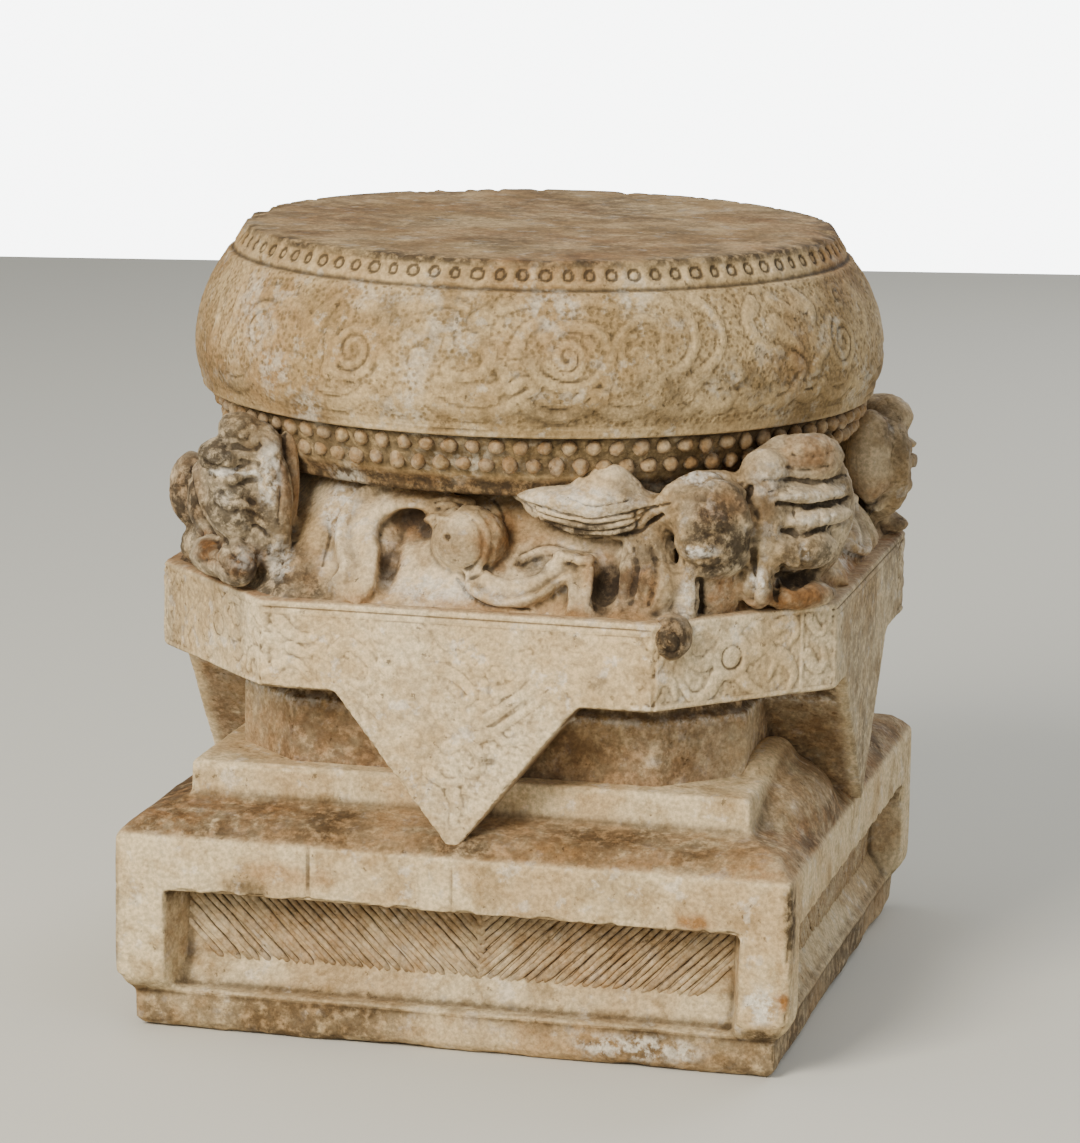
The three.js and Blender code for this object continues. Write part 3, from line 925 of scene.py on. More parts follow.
def plain_material(name: str, hex_colour: str, roughness: float = 0.9, glow: float = 0) -> bpy.types.Material:
    """Plain painted surface for the studio, which may be lit from behind."""
    material = bpy.data.materials.new(name)
    material.use_nodes = True
    shader = material.node_tree.nodes["Principled BSDF"]
    shader.inputs["Base Color"].default_value = linear(hex_colour)
    shader.inputs["Roughness"].default_value = roughness
    shader.inputs["Specular IOR Level"].default_value = 0.1
    shader.inputs["Emission Color"].default_value = linear(hex_colour)
    shader.inputs["Emission Strength"].default_value = glow
    return material


def one_sided(material: bpy.types.Material) -> bpy.types.Material:
    """Clears the back of a studio sheet, so that it hides nothing in a view from behind."""
    tree = material.node_tree
    shader = tree.nodes["Principled BSDF"].outputs[0]
    back = add_node(tree, "ShaderNodeNewGeometry", out="Backfacing")
    clear = add_node(tree, "ShaderNodeBsdfTransparent")
    mixed = add_node(tree, "ShaderNodeMixShader", {0: back, 1: shader, 2: clear})
    tree.links.new(mixed, tree.nodes["Material Output"].inputs[0])
    return material


class Course:
    """One course of the block: builds its rough form, carves it and weathers it."""

    name = ""
    finish = PLINTH_FINISH
    voxel = 1.5
    limit = TRIANGLE_LIMIT

    def rough(self) -> list[Object]:
        """The course's rough closed forms."""
        raise NotImplementedError

    def carve(self, clay: Clay) -> None:
        """Carves and weathers the dense surface."""
        raise NotImplementedError

    def extras(self) -> list[Object]:
        """Repeated forms that are added to the finished surface."""
        return []

    def surface(self) -> Clay:
        """The course's dense surface, before it is carved."""
        return Clay(self.name, evened(joined(self.name, self.rough()), self.voxel))

    def build(self) -> Object:
        """Builds the finished course.

        Returns:
            The course as one object, with its stone on it.
        """
        clay = self.surface()
        self.carve(clay)
        piece = clay.finished(self.limit)
        extras = self.extras()
        if extras:
            piece = joined(self.name, [piece, *extras])
            piece.data.shade_smooth()
        piece.name = self.name
        piece.data.materials.clear()
        piece.data.materials.append(StoneMaterial(self.finish).material)
        LOG.info("%s: %d vertices", self.name, len(piece.data.vertices))
        return piece


def loft_object(name: str, rings: Sequence[Sequence[Place]], side: Side = Side.FRONT) -> Object:
    """Makes a closed form through rings of points, from first to last, and turns it to a side."""
    shape = bmesh.new()
    loops = [[shape.verts.new(point) for point in ring] for ring in rings]
    faces = [shape.faces.new(loops[0]), shape.faces.new(loops[-1][::-1])]
    for low, high in zip(loops, loops[1:]):
        for k in range(len(low)):
            after = (k + 1) % len(low)
            faces.append(shape.faces.new([low[k], low[after], high[after], high[k]]))
    bmesh.ops.recalc_face_normals(shape, faces=faces)
    bmesh.ops.transform(shape, matrix=side_matrix(side), verts=shape.verts)
    return mesh_object(name, shape)


def cut_away(body: Object, cutters: Sequence[Object]) -> Object:
    """Takes cutters away from a body."""
    for cutter in cutters:
        modifier = body.modifiers.new("recess", "BOOLEAN")
        modifier.operation = "DIFFERENCE"
        modifier.solver = "EXACT"
        modifier.object = cutter
    settled(body)
    for cutter in cutters:
        bpy.data.objects.remove(cutter)
    return body


def evened(rough: Object, voxel: float) -> Object:
    """Gives a rough form, of closed forms that may overlap, an even, dense surface."""
    remesh = rough.modifiers.new("even surface", "REMESH")
    remesh.mode = "VOXEL"
    remesh.voxel_size = voxel * MM
    return settled(rough)


def turned_back(points: Array, degrees: float) -> Array:
    """Places as seen from a side: turned so that the side faces the front."""
    angle = -math.radians(degrees)
    c, s = math.cos(angle), math.sin(angle)
    x, y, z = points.T
    return np.stack([c * x - s * y, s * x + c * y, z], 1)


def add_stains(clay: Clay, flat: Array, stains: Iterable[Stain], seen: Array, seed: int) -> None:
    """Marks a surface with stains.

    Args:
        clay: the surface.
        flat: its points on the stains' flat drawing.
        stains: the stains.
        seen: how much of each point the drawing covers.
        seed: which ragged edge they get.
    """
    index = np.flatnonzero(seen > 0.01)
    ragged = noise(clay.points[index], 12, seed, 4)
    for stain in stains:
        reach = np.linalg.norm((flat[index] - np.array(stain.place)) / np.array(stain.reach), axis=1) + 0.5 * ragged
        mark = stain.strength * ramp(reach, 1.2, 0.5) * seen[index]
        clay.mark(stain.weather, mark, index)


class Repeat:
    """Geometry Nodes tree that repeats one small form and roughens it; the course that it joins gives it its stone."""

    name = ""
    inputs: dict[str, str] = {}
    rough: dict[str, float] = {}
    shift: Place = (0, 0, 0)

    def __init__(self) -> None:
        """Builds the tree."""
        self.tree = bpy.data.node_groups.new(self.name, "GeometryNodeTree")
        face = self.tree.interface
        self.sockets = {
            key: face.new_socket(key.title(), in_out="INPUT", socket_type=f"NodeSocket{kind}").identifier
            for key, kind in self.inputs.items()
        }
        face.new_socket("Geometry", in_out="OUTPUT", socket_type="NodeSocketGeometry")
        given = add_node(self.tree, "NodeGroupInput").node.outputs
        placed = self.placed(*(given[k] for k in range(len(self.inputs))))
        real = add_node(self.tree, "GeometryNodeRealizeInstances", {0: placed})
        place = add_node(self.tree, "GeometryNodeInputPosition")
        lumps = add_node(self.tree, "ShaderNodeTexNoise", {"Vector": place, **self.rough}, "Color")
        middle = add_node(self.tree, "ShaderNodeVectorMath", {0: lumps, 1: (0.5, 0.5, 0.5)}, operation="SUBTRACT")
        shift = add_node(self.tree, "ShaderNodeVectorMath", {0: middle, 1: self.shift}, operation="MULTIPLY")
        moved = add_node(self.tree, "GeometryNodeSetPosition", {0: real, "Offset": shift})
        stone = add_node(self.tree, "GeometryNodeSetMaterial", {0: moved})
        add_node(self.tree, "NodeGroupOutput", {0: stone})

    def placed(self, *given: Socket) -> Socket:
        """The instances, from the tree's inputs."""
        raise NotImplementedError

    def grown(self, name: str, values: dict[str, int | float], place: Matrix) -> Object:
        """Runs the tree and keeps its result as plain mesh.

        Args:
            name: name of the object.
            values: the tree's inputs by name.
            place: turns and moves the result.

        Returns:
            The object, at the origin, its place in its vertices.
        """
        made = added(name, bpy.data.meshes.new(name))
        modifier = made.modifiers.new(name, "NODES")
        modifier.node_group = self.tree
        for key, value in values.items():
            modifier[self.sockets[key]] = value
        settled(made)
        made.data.transform(place)
        return made


class ChiselStrokes(Repeat):
    """Slanting chisel strokes of half a sunk panel."""

    name = "chisel strokes"
    inputs = {"count": "Int", "pitch": "Float", "height": "Float", "hand": "Float", "seed": "Int"}
    rough = {"Scale": 140, "Detail": 3, "Roughness": 0.7}
    shift = (0.0035, 0.003, 0.002)

    def placed(self, count: Socket, pitch: Socket, height: Socket, hand: Socket, seed: Socket) -> Socket:
        """Lays bars along the panel's top edge, each cut short where the two halves meet."""
        tree = self.tree
        step = add_node(tree, "ShaderNodeMath", {0: pitch, 1: hand}, operation="MULTIPLY")
        offset = add_node(tree, "ShaderNodeCombineXYZ", {0: step})
        line = add_node(tree, "GeometryNodeMeshLine", {"Count": count, "Offset": offset})
        size = {"Vertices": 6, "Side Segments": 9, "Radius": 2.15 * MM, "Depth": 1.0}
        bar = add_node(tree, "GeometryNodeMeshCylinder", size)
        hung = add_node(tree, "GeometryNodeTransform", {"Geometry": bar, "Translation": (0, 0, -0.5)})
        index = add_node(tree, "GeometryNodeInputIndex")
        run = add_node(tree, "ShaderNodeMath", {0: index, 1: 0.35}, operation="ADD")
        reach = add_node(tree, "ShaderNodeMath", {0: run, 1: pitch}, operation="MULTIPLY")
        drop = add_node(tree, "ShaderNodeMath", {0: reach, 1: height}, operation="MINIMUM")
        length = add_node(tree, "ShaderNodeMath", {0: drop, 1: math.sqrt(2)}, operation="MULTIPLY")
        width = add_node(tree, "FunctionNodeRandomValue", {2: 0.8, 3: 1.12, "Seed": seed}, 1, data_type="FLOAT")
        scale = add_node(tree, "ShaderNodeCombineXYZ", {0: width, 1: 0.85, 2: length})
        slant = add_node(tree, "ShaderNodeMath", {0: hand, 1: math.radians(45)}, operation="MULTIPLY")
        links = {2: -0.03, 3: 0.03, "Seed": seed, "ID": index}
        sway = add_node(tree, "FunctionNodeRandomValue", links, 1, data_type="FLOAT")
        lean = add_node(tree, "ShaderNodeMath", {0: slant, 1: sway}, operation="ADD")
        turn = add_node(tree, "ShaderNodeCombineXYZ", {1: lean})
        links = {"Points": line, "Instance": hung, "Rotation": turn, "Scale": scale}
        return add_node(tree, "GeometryNodeInstanceOnPoints", links)


class BeadRow(Repeat):
    """One row of the drum's worn studs."""

    name = "bead row"
    inputs = {"count": "Int", "radius": "Float", "bead": "Float", "seed": "Int"}
    rough = {"Scale": 150, "Detail": 2}
    shift = (0.004, 0.004, 0.004)

    def placed(self, count: Socket, radius: Socket, bead: Socket, seed: Socket) -> Socket:
        """Puts a worn bead on each point of a ring."""
        ring = add_node(self.tree, "GeometryNodeMeshCircle", {"Vertices": count, "Radius": radius})
        ball = add_node(self.tree, "GeometryNodeMeshUVSphere", {"Segments": 10, "Rings": 7, "Radius": bead})
        links = {0: (0.82, 0.8, 0.8), 1: (1.05, 1.08, 1.06), "Seed": seed}
        wear = add_node(self.tree, "FunctionNodeRandomValue", links, data_type="FLOAT_VECTOR")
        links = {"Points": ring, "Instance": ball, "Scale": wear}
        return add_node(self.tree, "GeometryNodeInstanceOnPoints", links)


def mark_relief(piece: Object, sunk: Array, weather: Array) -> None:
    """Gives a repeated form the attributes that the stone's material reads.

    Args:
        piece: the repeated form.
        sunk: how far each point lies in a hollow, from -1 to 1; the material darkens it as painted shade where high
            and pales it as a painted highlight where low.
        weather: the four kinds of weather.
    """
    paint(piece.data, "relief", np.stack([0.5 + 0.5 * sunk, 0.5 + 0.3 * sunk, 0 * sunk, 0 * sunk + 1], 1))
    paint(piece.data, "weather", np.tile(weather, (len(sunk), 1)))


def mesh_points(piece: Object) -> Array:
    """A piece's points in millimetres."""
    points = np.empty((len(piece.data.vertices), 3))
    piece.data.vertices.foreach_get("co", points.ravel())
    return points / MM


class Plinth(Course):
    """Base slab, table-shaped plinth, hipped top and step."""

    name = "stone_plinth"
    finish = PLINTH_FINISH
    voxel = 1.55
    limit = 158_000

    def rough(self) -> list[Object]:
        """The courses as lofts, with the four recesses cut."""
        b = BLOCK
        base = loft_object("base", [
            rectangle(b.base_width + 6, b.base_depth + 4, 0, 4),
            rectangle(b.base_width + 6, b.base_depth + 4, 5),
            rectangle(b.base_width + 6, b.base_depth + 4, b.base_height + 1),
        ])
        across = 0.35
        hip_width = b.plinth_width + across * (b.step_width - b.plinth_width)
        hip_depth = b.plinth_depth + across * (b.step_width - b.plinth_depth)
        table = loft_object("table", [
            rectangle(b.plinth_width, b.plinth_depth, b.base_height - 1, b.leg_taper),
            rectangle(b.plinth_width, b.plinth_depth, b.base_height + b.leg_taper),
            rectangle(b.plinth_width, b.plinth_depth, b.plinth_top),
            rectangle(hip_width, hip_depth, b.plinth_top + 0.6 * (b.step_foot - b.plinth_top)),
            rectangle(b.step_width, b.step_width, b.step_foot),
        ])
        cut_away(table, [self.recess(side) for side in Side])
        step = loft_object("step", [
            rectangle(b.step_width, b.step_width, b.step_foot - 2),
            rectangle(b.step_width, b.step_width, b.step_top - 1.5),
            rectangle(b.step_width, b.step_width, b.step_top, 1.5),
        ])
        mound = Neck.lump(Lump((155, -66, 112), (34, 82, 35)), Matrix.Identity(4))
        ridge = Neck.lump(Lump((149, -64, 145), (15, 46, 13)), Matrix.Identity(4))
        return [base, table, step, mound, ridge]

    @staticmethod
    def panel(side: Side) -> tuple[float, float, float]:
        """Half width, reach and back of a side's sunk panel."""
        b = BLOCK
        if side in (Side.FRONT, Side.BACK):
            return b.plinth_width / 2 - b.leg_width, b.plinth_depth / 2, b.plinth_depth / 2 - b.front_recess
        return b.plinth_depth / 2 - b.leg_width, b.plinth_width / 2, b.plinth_width / 2 - b.side_recess

    def recess(self, side: Side) -> Object:
        """Form that is cut from one side."""
        b = BLOCK
        half, reach, back = self.panel(side)
        top = b.plinth_top - b.rail_height
        profile = [(reach + 8, b.base_height), (back + b.skirt_reach, b.base_height)]
        profile += [(back, b.base_height + b.skirt_height), (back, top), (reach + 8, top)]
        splay = [4.5 if out > reach else -6 for out, _ in profile]
        ends = [[(hand * (half + wide), -out, z) for wide, (out, z) in zip(splay, profile)] for hand in (-1, 1)]
        return loft_object("recess", ends, side)

    def carve(self, clay: Clay) -> None:
        """Wears the edges, chips the rails and stains the ledges."""
        b = BLOCK
        clay.relax(2)
        x, y, z = clay.points.T
        feet = ramp(z, b.base_height + 26, b.base_height + 6) * ramp(z, b.base_height - 3, b.base_height)
        outer = np.maximum(np.abs(x) / (b.plinth_width / 2), np.abs(y) / (b.plinth_depth / 2))
        clay.relax(9, 0.7, feet * ramp(outer, 0.9, 0.97))
        uncut = ramp(x, 150, 160) * ramp(np.abs(y + 60), 100, 80) * ramp(z, 112, 118)
        clay.relax(14, 0.7, uncut)
        edge = -clay.hollow(14)
        worn = ramp(edge, 0.4, 1.6)
        chips = ramp(clay.noise(17, 11, 3), 0.18, 0.5)
        rough = clay.noise(26, 12, 4)
        fine = clay.noise(4.5, 13, 2)
        hip = ramp(z, b.plinth_top + 1, b.plinth_top + 5) * ramp(z, b.step_foot + 1, b.step_foot - 2)
        base = ramp(z, b.base_height, b.base_height - 4)
        heights = -0.35 + 0.3 * rough + 0.16 * fine
        heights += base * (0.9 * rough - 0.6) + hip * 1.3 * clay.noise(38, 14, 3)
        heights -= worn * (0.25 + 2.4 * chips)
        rail = ramp(z, b.plinth_top - b.rail_height + 5, b.plinth_top - b.rail_height)
        heights -= rail * ramp(edge, 0.2, 1) * 2.2 * ramp(clay.noise(9, 15, 2), 0, 0.5)
        clay.push(heights)
        self.carve_front(clay)
        self.weather(clay)

    def carve_front(self, clay: Clay) -> None:
        """Joints and upright tool marks on the rails."""
        b = BLOCK
        for side in Side:
            places = turned_back(clay.points, side.value)
            half, reach, back = self.panel(side)
            face = ramp(-places[:, 1], reach - 2.4, reach - 1.6)
            heights = np.zeros(len(clay.points))
            rail = places[:, 2] > b.plinth_top - b.rail_height
            lines = [(-79, 1.3), (2, 0.7)] if side is Side.FRONT else []
            for across, depth in lines:
                heights -= depth * np.exp(-(((places[:, 0] - across) / 1.6) ** 2)) * rail
            stretched = places * np.array([1, 1, 0.12])
            heights += 0.22 * noise(stretched, 3.4, 20 + side.value, 2)
            clay.push(heights * face)

    def weather(self, clay: Clay) -> None:
        """Stains: ochre on the ledges and the hip, grime low down; painted shade under the rails, on downward faces,
        in the sunk panels and in the crease along the table's foot.
        """
        b = BLOCK
        x, y, z = clay.points.T
        up = clay.normals()[:, 2]
        hip = ramp(z, b.plinth_top - 1, b.plinth_top + 3) * ramp(z, b.step_foot + 3, b.step_foot - 3)
        patch = clay.noise(60, 31, 3)
        clay.mark(Weather.OCHRE, hip * np.clip(0.55 + 0.5 * patch, 0, 0.9))
        clay.mark(Weather.GRIME_AND_SHADE, hip * np.clip(0.68 + 0.9 * clay.noise(34, 32, 3), 0, 0.95))
        uncut = ramp(x, 157, 161) * ramp(np.abs(y + 60), 100, 86) * ramp(z, 113, 118)
        clay.mark(Weather.GRIME_AND_SHADE, 0.5 * uncut)
        clay.mark(Weather.OCHRE, 0.45 * uncut)
        base = ramp(z, b.base_height + 1, b.base_height - 2)
        clay.mark(Weather.GRIME_AND_SHADE, base * np.clip(0.5 + 0.9 * patch, 0, 0.85))
        clay.mark(Weather.OCHRE, 0.3 * base)
        # Painted shade in the crease where the table's foot meets the base slab.
        lip = np.exp(-(((z - b.base_height - 2) / 2.6) ** 2))
        clay.mark(Weather.GRIME_AND_SHADE, 0.6 * lip)
        seen = ramp(-y, b.plinth_depth / 2 - 16, b.plinth_depth / 2 - 12)
        add_stains(clay, clay.points[:, [0, 2]], self.front_stains(), seen, 33)
        # Painted shade on all downward faces.
        under = ramp(-up, 0.5, 0.9) * (z > 10)
        clay.mark(Weather.GRIME_AND_SHADE, 0.9 * under)
        for side in Side:
            places = turned_back(clay.points, side.value)
            half, reach, back = self.panel(side)
            sunk = ramp(-places[:, 1], reach - 6, reach - 12) * (np.abs(places[:, 0]) < half + 1)
            sunk *= (z > b.base_height + 1) & (z < b.plinth_top - b.rail_height + 1)
            # Painted shade in the sunk panels, strongest at the top under the rail; the ochre is a stain.
            top = ramp(z, 66, 81)
            panel = ramp(z, b.base_height + b.skirt_height - 2, b.base_height + b.skirt_height + 1)
            clay.mark(Weather.GRIME_AND_SHADE, sunk * (0.2 + 0.75 * top) * panel)
            clay.mark(Weather.OCHRE, sunk * 0.3 * panel)
            clay.mark(Weather.GRIME_AND_SHADE, sunk * 0.18 * (1 - panel))

    @staticmethod
    def front_stains() -> list[Stain]:
        """Stains of the front rail, the right foot and the base slab."""
        return [
            *blots(
                Weather.GRIME_AND_SHADE, (-118, 87, 28, 4, 0.7), (176, 25, 12, 8, 1.0), (190, 92, 5, 22, 1.0),
                (-190, 66, 4, 40, 0.7), (-64, 18, 44, 6, 0.9), (-168, 10, 14, 10, 0.8), (120, 8, 60, 12, 0.6),
                (165, 6, 20, 6, 0.8),
            ),
            *blots(Weather.OCHRE, (-83, 97, 34, 8, 0.45), (137, 87, 11, 5, 0.9), (186, 46, 5, 6, 1.0)),
            *blots(Weather.LIME_AND_HIGHLIGHT, (174, 41, 10, 11, 1.0), (104, 12, 36, 8, 0.8)),
        ]

    def extras(self) -> list[Object]:
        """Chisel strokes in the four sunk panels."""
        b = BLOCK
        strokes = ChiselStrokes()
        made = []
        top = b.plinth_top - b.rail_height + 1
        for number, side in enumerate(Side):
            half, _, back = self.panel(side)
            middle = 13 if side is Side.FRONT else 0
            place = side_matrix(side) @ Matrix.Translation((middle * MM, (0.5 - back) * MM, top * MM))
            for hand in (-1, 1):
                count = int((half + 24 - hand * middle) / 5.3)
                values = {"count": count, "pitch": 5.3 * MM, "height": 43 * MM, "hand": float(hand), "seed": number}
                piece = strokes.grown(f"strokes {number} {hand}", values, place)
                out = -turned_back(mesh_points(piece), side.value)[:, 1] - back
                # Painted shade low between the strokes and a painted highlight on their tops; the fixed grime share is
                # the sunk panel's painted shade, the ochre and lime are stains.
                mark_relief(piece, np.clip(0.7 - out / 1.1, -0.6, 1), np.array([0.3, 0.4, 0.1, 0]))
                made.append(piece)
        return made


class Slab(Course):
    """Eight-sided waist and slab, with the points that hang from the slab's main faces."""

    name = "stone_slab"
    finish = SLAB_FINISH
    voxel = 1.3
    limit = 196_000

    def rough(self) -> list[Object]:
        """Waist, slab and hanging points as lofts."""
        b = BLOCK
        waist = (b.waist_width, b.waist_width, b.waist_face, b.waist_face / 2, b.waist_face / 2)
        plan = (b.slab_width, b.slab_depth, b.front_face, b.side_fore, b.side_aft)
        band = b.slab_bottom - b.band_height
        forms = [
            loft_object("waist", [
                octagon(*waist, b.step_top - 4, 0),
                octagon(*waist, band, 0),
                octagon(*waist, band + 1.5, b.band_inset),
                octagon(*waist, b.slab_bottom + 2, b.band_inset),
            ]),
            loft_object("slab", [
                octagon(*plan, b.slab_bottom, 1.5),
                octagon(*plan, b.slab_bottom + 1.5, 0),
                octagon(*plan, b.slab_top - 1.5, 0),
                octagon(*plan, b.slab_top, 1.5),
            ]),
        ]
        for side in Side:
            reach = (b.slab_depth if side in (Side.FRONT, Side.BACK) else b.slab_width) / 2
            back = -(b.waist_width / 2 - 8)
            half = b.point_width / 2
            corners = [(-half, b.slab_bottom + 2), (0, b.plinth_top), (half, b.slab_bottom + 2)]
            ends = [[(x, y, z) for x, z in corners] for y in (-reach, back)]
            forms.append(loft_object("hanging point", ends, side))
        return forms

    def carve(self, clay: Clay) -> None:
        """Wears the edges, then cuts the scrolls into the faces and the blossoms into the corners."""
        clay.relax(2)
        edge = -clay.hollow(12)
        worn = ramp(edge, 0.4, 1.6)
        chips = ramp(clay.noise(15, 41, 3), 0.2, 0.5)
        heights = -0.3 + 0.22 * clay.noise(24, 42, 4) + 0.12 * clay.noise(4.5, 43, 2)
        heights -= worn * (0.5 + 2.4 * chips)
        clay.push(heights)
        for side in Side:
            self.carve_face(clay, side)
        for turn in (45, 135, 225, 315):
            self.carve_corner(clay, turn)
        self.weather(clay)

    def carve_face(self, clay: Clay, side: Side) -> None:
        """Thin scrolls on one main face and its hanging point."""
        b = BLOCK
        reach = (b.slab_depth if side in (Side.FRONT, Side.BACK) else b.slab_width) / 2
        places = turned_back(clay.points, side.value)
        index = np.flatnonzero((-places[:, 1] > reach - 2.6) & (np.abs(places[:, 0]) < 112))
        flat = places[index][:, [0, 2]]
        if side is not Side.FRONT:
            flat[:, 0] *= -1
        heights, _ = Tracery(self.leaves()).relief(flat, 0.8, 44)
        worn = 0.75 + 0.8 * noise(clay.points[index], 30, 45, 3)
        heights *= worn * (1 if side is Side.FRONT else 0.45) * (flat[:, 1] < 241)
        for cut in self.borders():
            cut.mark(heights, flat)
        clay.push(heights, index)

    @staticmethod
    def borders() -> list[Cut]:
        """Lines along the top of a face, and inside the edges of its hanging point."""
        return [
            Cut(np.array([(-108, 243.4), (108, 243.4)]), 2.2, -0.9),
            Cut(np.array([(-108, 239.6), (108, 239.6)]), 1.8, -0.55),
            Cut(curve([(-60, 196), (-30, 166), (-4, 122)]), 2, -0.55),
            Cut(curve([(60, 196), (30, 166), (4, 122)]), 2, -0.55),
        ]

    @staticmethod
    def leaves() -> list[Band]:
        """Cloud scrolls and leaves of a face and its hanging point."""
        lines = [
            ([(-106, 204), (-98, 213), (-88, 213), (-82, 206)], 6, 3),
            ([(-100, 237), (-91, 229), (-81, 228), (-71, 234)], 6, 3),
            ([(-67, 221), (-60, 226), (-50, 220), (-45, 212), (-51, 203), (-59, 206)], 6, 3),
            ([(-74, 212), (-72, 203), (-64, 199)], 5, 3),
            ([(-42, 232), (-31, 238), (-20, 236), (-16, 229), (-23, 224), (-29, 228)], 6, 3),
            ([(-8, 238), (-6, 231), (2, 228), (10, 232), (16, 238)], 6, 3),
            ([(26, 236), (34, 232), (43, 233), (47, 227), (41, 223)], 5, 3),
            ([(14, 186), (24, 193), (35, 202), (50, 215), (61, 225), (76, 226)], 4.6, 4.6),
            ([(20, 180), (30, 188), (42, 197), (54, 206)], 3.4, 3),
            ([(57, 205), (63, 209), (69, 204), (65, 196), (60, 193)], 5, 3),
            ([(84, 236), (92, 240), (101, 236)], 6, 3), ([(80, 210), (90, 215), (99, 210), (105, 202)], 6, 3),
            ([(24, 204), (33, 208), (38, 215), (36, 221)], 5, 3), ([(-10, 193), (-5, 185), (0, 181)], 5, 3),
            ([(-32, 192), (-21, 187), (-14, 177), (-18, 168), (-26, 171)], 6, 3),
            ([(14, 179), (22, 182), (29, 177), (40, 179)], 5, 3),
            ([(-3, 172), (6, 177), (13, 171), (15, 162), (9, 158), (5, 163)], 5.5, 3),
            ([(-14, 158), (-4, 152), (5, 154)], 5, 3), ([(0, 147), (2, 139), (0, 130)], 6, 3),
            ([(-26, 210), (-11, 215), (2, 211), (10, 202), (2, 197), (-6, 203)], 6, 3),
            ([(-92, 222), (-84, 219), (-78, 222)], 5, 3), ([(-40, 216), (-34, 208), (-36, 200)], 5, 3),
            ([(14, 216), (20, 222), (28, 221)], 5, 3), ([(-48, 194), (-42, 188), (-36, 180)], 5, 3),
        ]
        return [Band(curve(places, 6), 1.3 * start, end) for places, start, end in lines]

    def carve_corner(self, clay: Clay, turn: float) -> None:
        """Blossom and leaves in low relief on one corner face."""
        places = turned_back(clay.points, turn)
        reach = BLOCK.corner_reach()
        index = np.flatnonzero((-places[:, 1] > reach - 9) & (np.abs(places[:, 0]) < 64))
        flat = places[index][:, [0, 2]] * np.array([1 if turn < 180 else -1, 1])
        lines = [
            (arc((-5, 224), 3, 0, 360), 5, 5), (arc((-5, 224), 10, 0, 360), 5, 5),
            (curve([(-5, 236), (2, 243), (12, 240), (14, 231)]), 6, 3),
            (curve([(8, 224), (18, 228), (24, 220), (20, 210)]), 7, 3),
            (curve([(2, 212), (8, 206), (16, 202)]), 6, 3),
            (curve([(-14, 214), (-20, 206), (-30, 204), (-36, 210)]), 7, 3),
            (curve([(-16, 226), (-24, 222), (-33, 226), (-34, 234)]), 7, 3),
            (curve([(-12, 236), (-19, 242), (-28, 241)]), 6, 3),
            (curve([(-56, 236), (-48, 240), (-42, 234), (-44, 226)]), 6, 3),
            (curve([(-58, 208), (-52, 216), (-44, 214), (-41, 206)]), 7, 3),
            (curve([(-60, 226), (-54, 224), (-50, 228)]), 5, 3),
            (curve([(26, 238), (34, 241), (38, 234), (34, 228)]), 6, 3),
            (curve([(27, 222), (33, 218), (37, 210), (34, 203)]), 7, 3),
            (curve([(47, 240), (54, 232), (60, 236)]), 5, 3),
            (curve([(46, 220), (52, 212), (58, 216), (56, 224)]), 6, 3),
            (np.array([(42, 200), (42, 244)]), 2, 2),
            (np.array([(-64, 246), (64, 246)]), 4, 4),
            (np.array([(-64, 200), (64, 200)]), 3, 3),
        ]
        bands = [Band(path, 1.3 * start, end) for path, start, end in lines]
        heights, ground = Tracery(bands).relief(flat, 0.8, 50 + int(turn))
        heights *= 0.8 + 0.8 * noise(clay.points[index], 20, 46, 3)
        inside = ramp(-places[index][:, 1], reach - 5, reach - 2)
        clay.push(heights * inside, index)
        clay.mark(Weather.GRIME_AND_SHADE, 0.12 * ground * inside, index)

    def weather(self, clay: Clay) -> None:
        """Stains: the top ledge is darker and the hanging point pale; painted shade darkens the waist under the slab,
        the downward faces and the right face, and a painted highlight runs along the waist's ledge.
        """
        b = BLOCK
        x, y, z = clay.points.T
        up = clay.normals()[:, 2]
        patch = clay.noise(50, 61, 3)
        # Painted shade on the waist under the slab's overhang, stronger on its recessed upper band; the ochre there is
        # a stain.
        shade = ramp(z, b.slab_bottom - 1, b.slab_bottom - 6)
        face = np.maximum(np.abs(x), np.abs(y))
        deep = ramp(face, b.slab_width / 2 - 2, b.slab_width / 2 - 10) * shade
        band = ramp(z, b.slab_bottom - b.band_height - 2, b.slab_bottom - b.band_height + 3)
        clay.mark(Weather.GRIME_AND_SHADE, deep * (0.56 + 0.35 * patch + 0.45 * band))
        # Painted highlight: a pale line along the waist's ledge.
        ledge = np.exp(-(((z - (b.slab_bottom - b.band_height - 1)) / 2.2) ** 2)) * deep
        clay.mark(Weather.LIME_AND_HIGHLIGHT, 0.5 * ledge)
        clay.mark(Weather.OCHRE, deep * (0.45 + 0.3 * patch))
        top = ramp(up, 0.6, 0.9) * (z > b.slab_top - 6)
        clay.mark(Weather.OCHRE, top * np.clip(0.5 + 0.6 * patch, 0, 1))
        clay.mark(Weather.GRIME_AND_SHADE, top * 0.3)
        # Painted shade on downward faces.
        clay.mark(Weather.GRIME_AND_SHADE, 0.75 * ramp(-up, 0.5, 0.9))
        for place, reach, strength in (((18, 166), (6, 3), 0.9), ((78, 214), (9, 5), 0.6), ((-48, 172), (7, 6), 0.5)):
            seen = ramp(-y, b.slab_depth / 2 - 6, b.slab_depth / 2 - 3)
            add_stains(clay, clay.points[:, [0, 2]], [Stain(Weather.GRIME_AND_SHADE, place, reach, strength)], seen, 47)
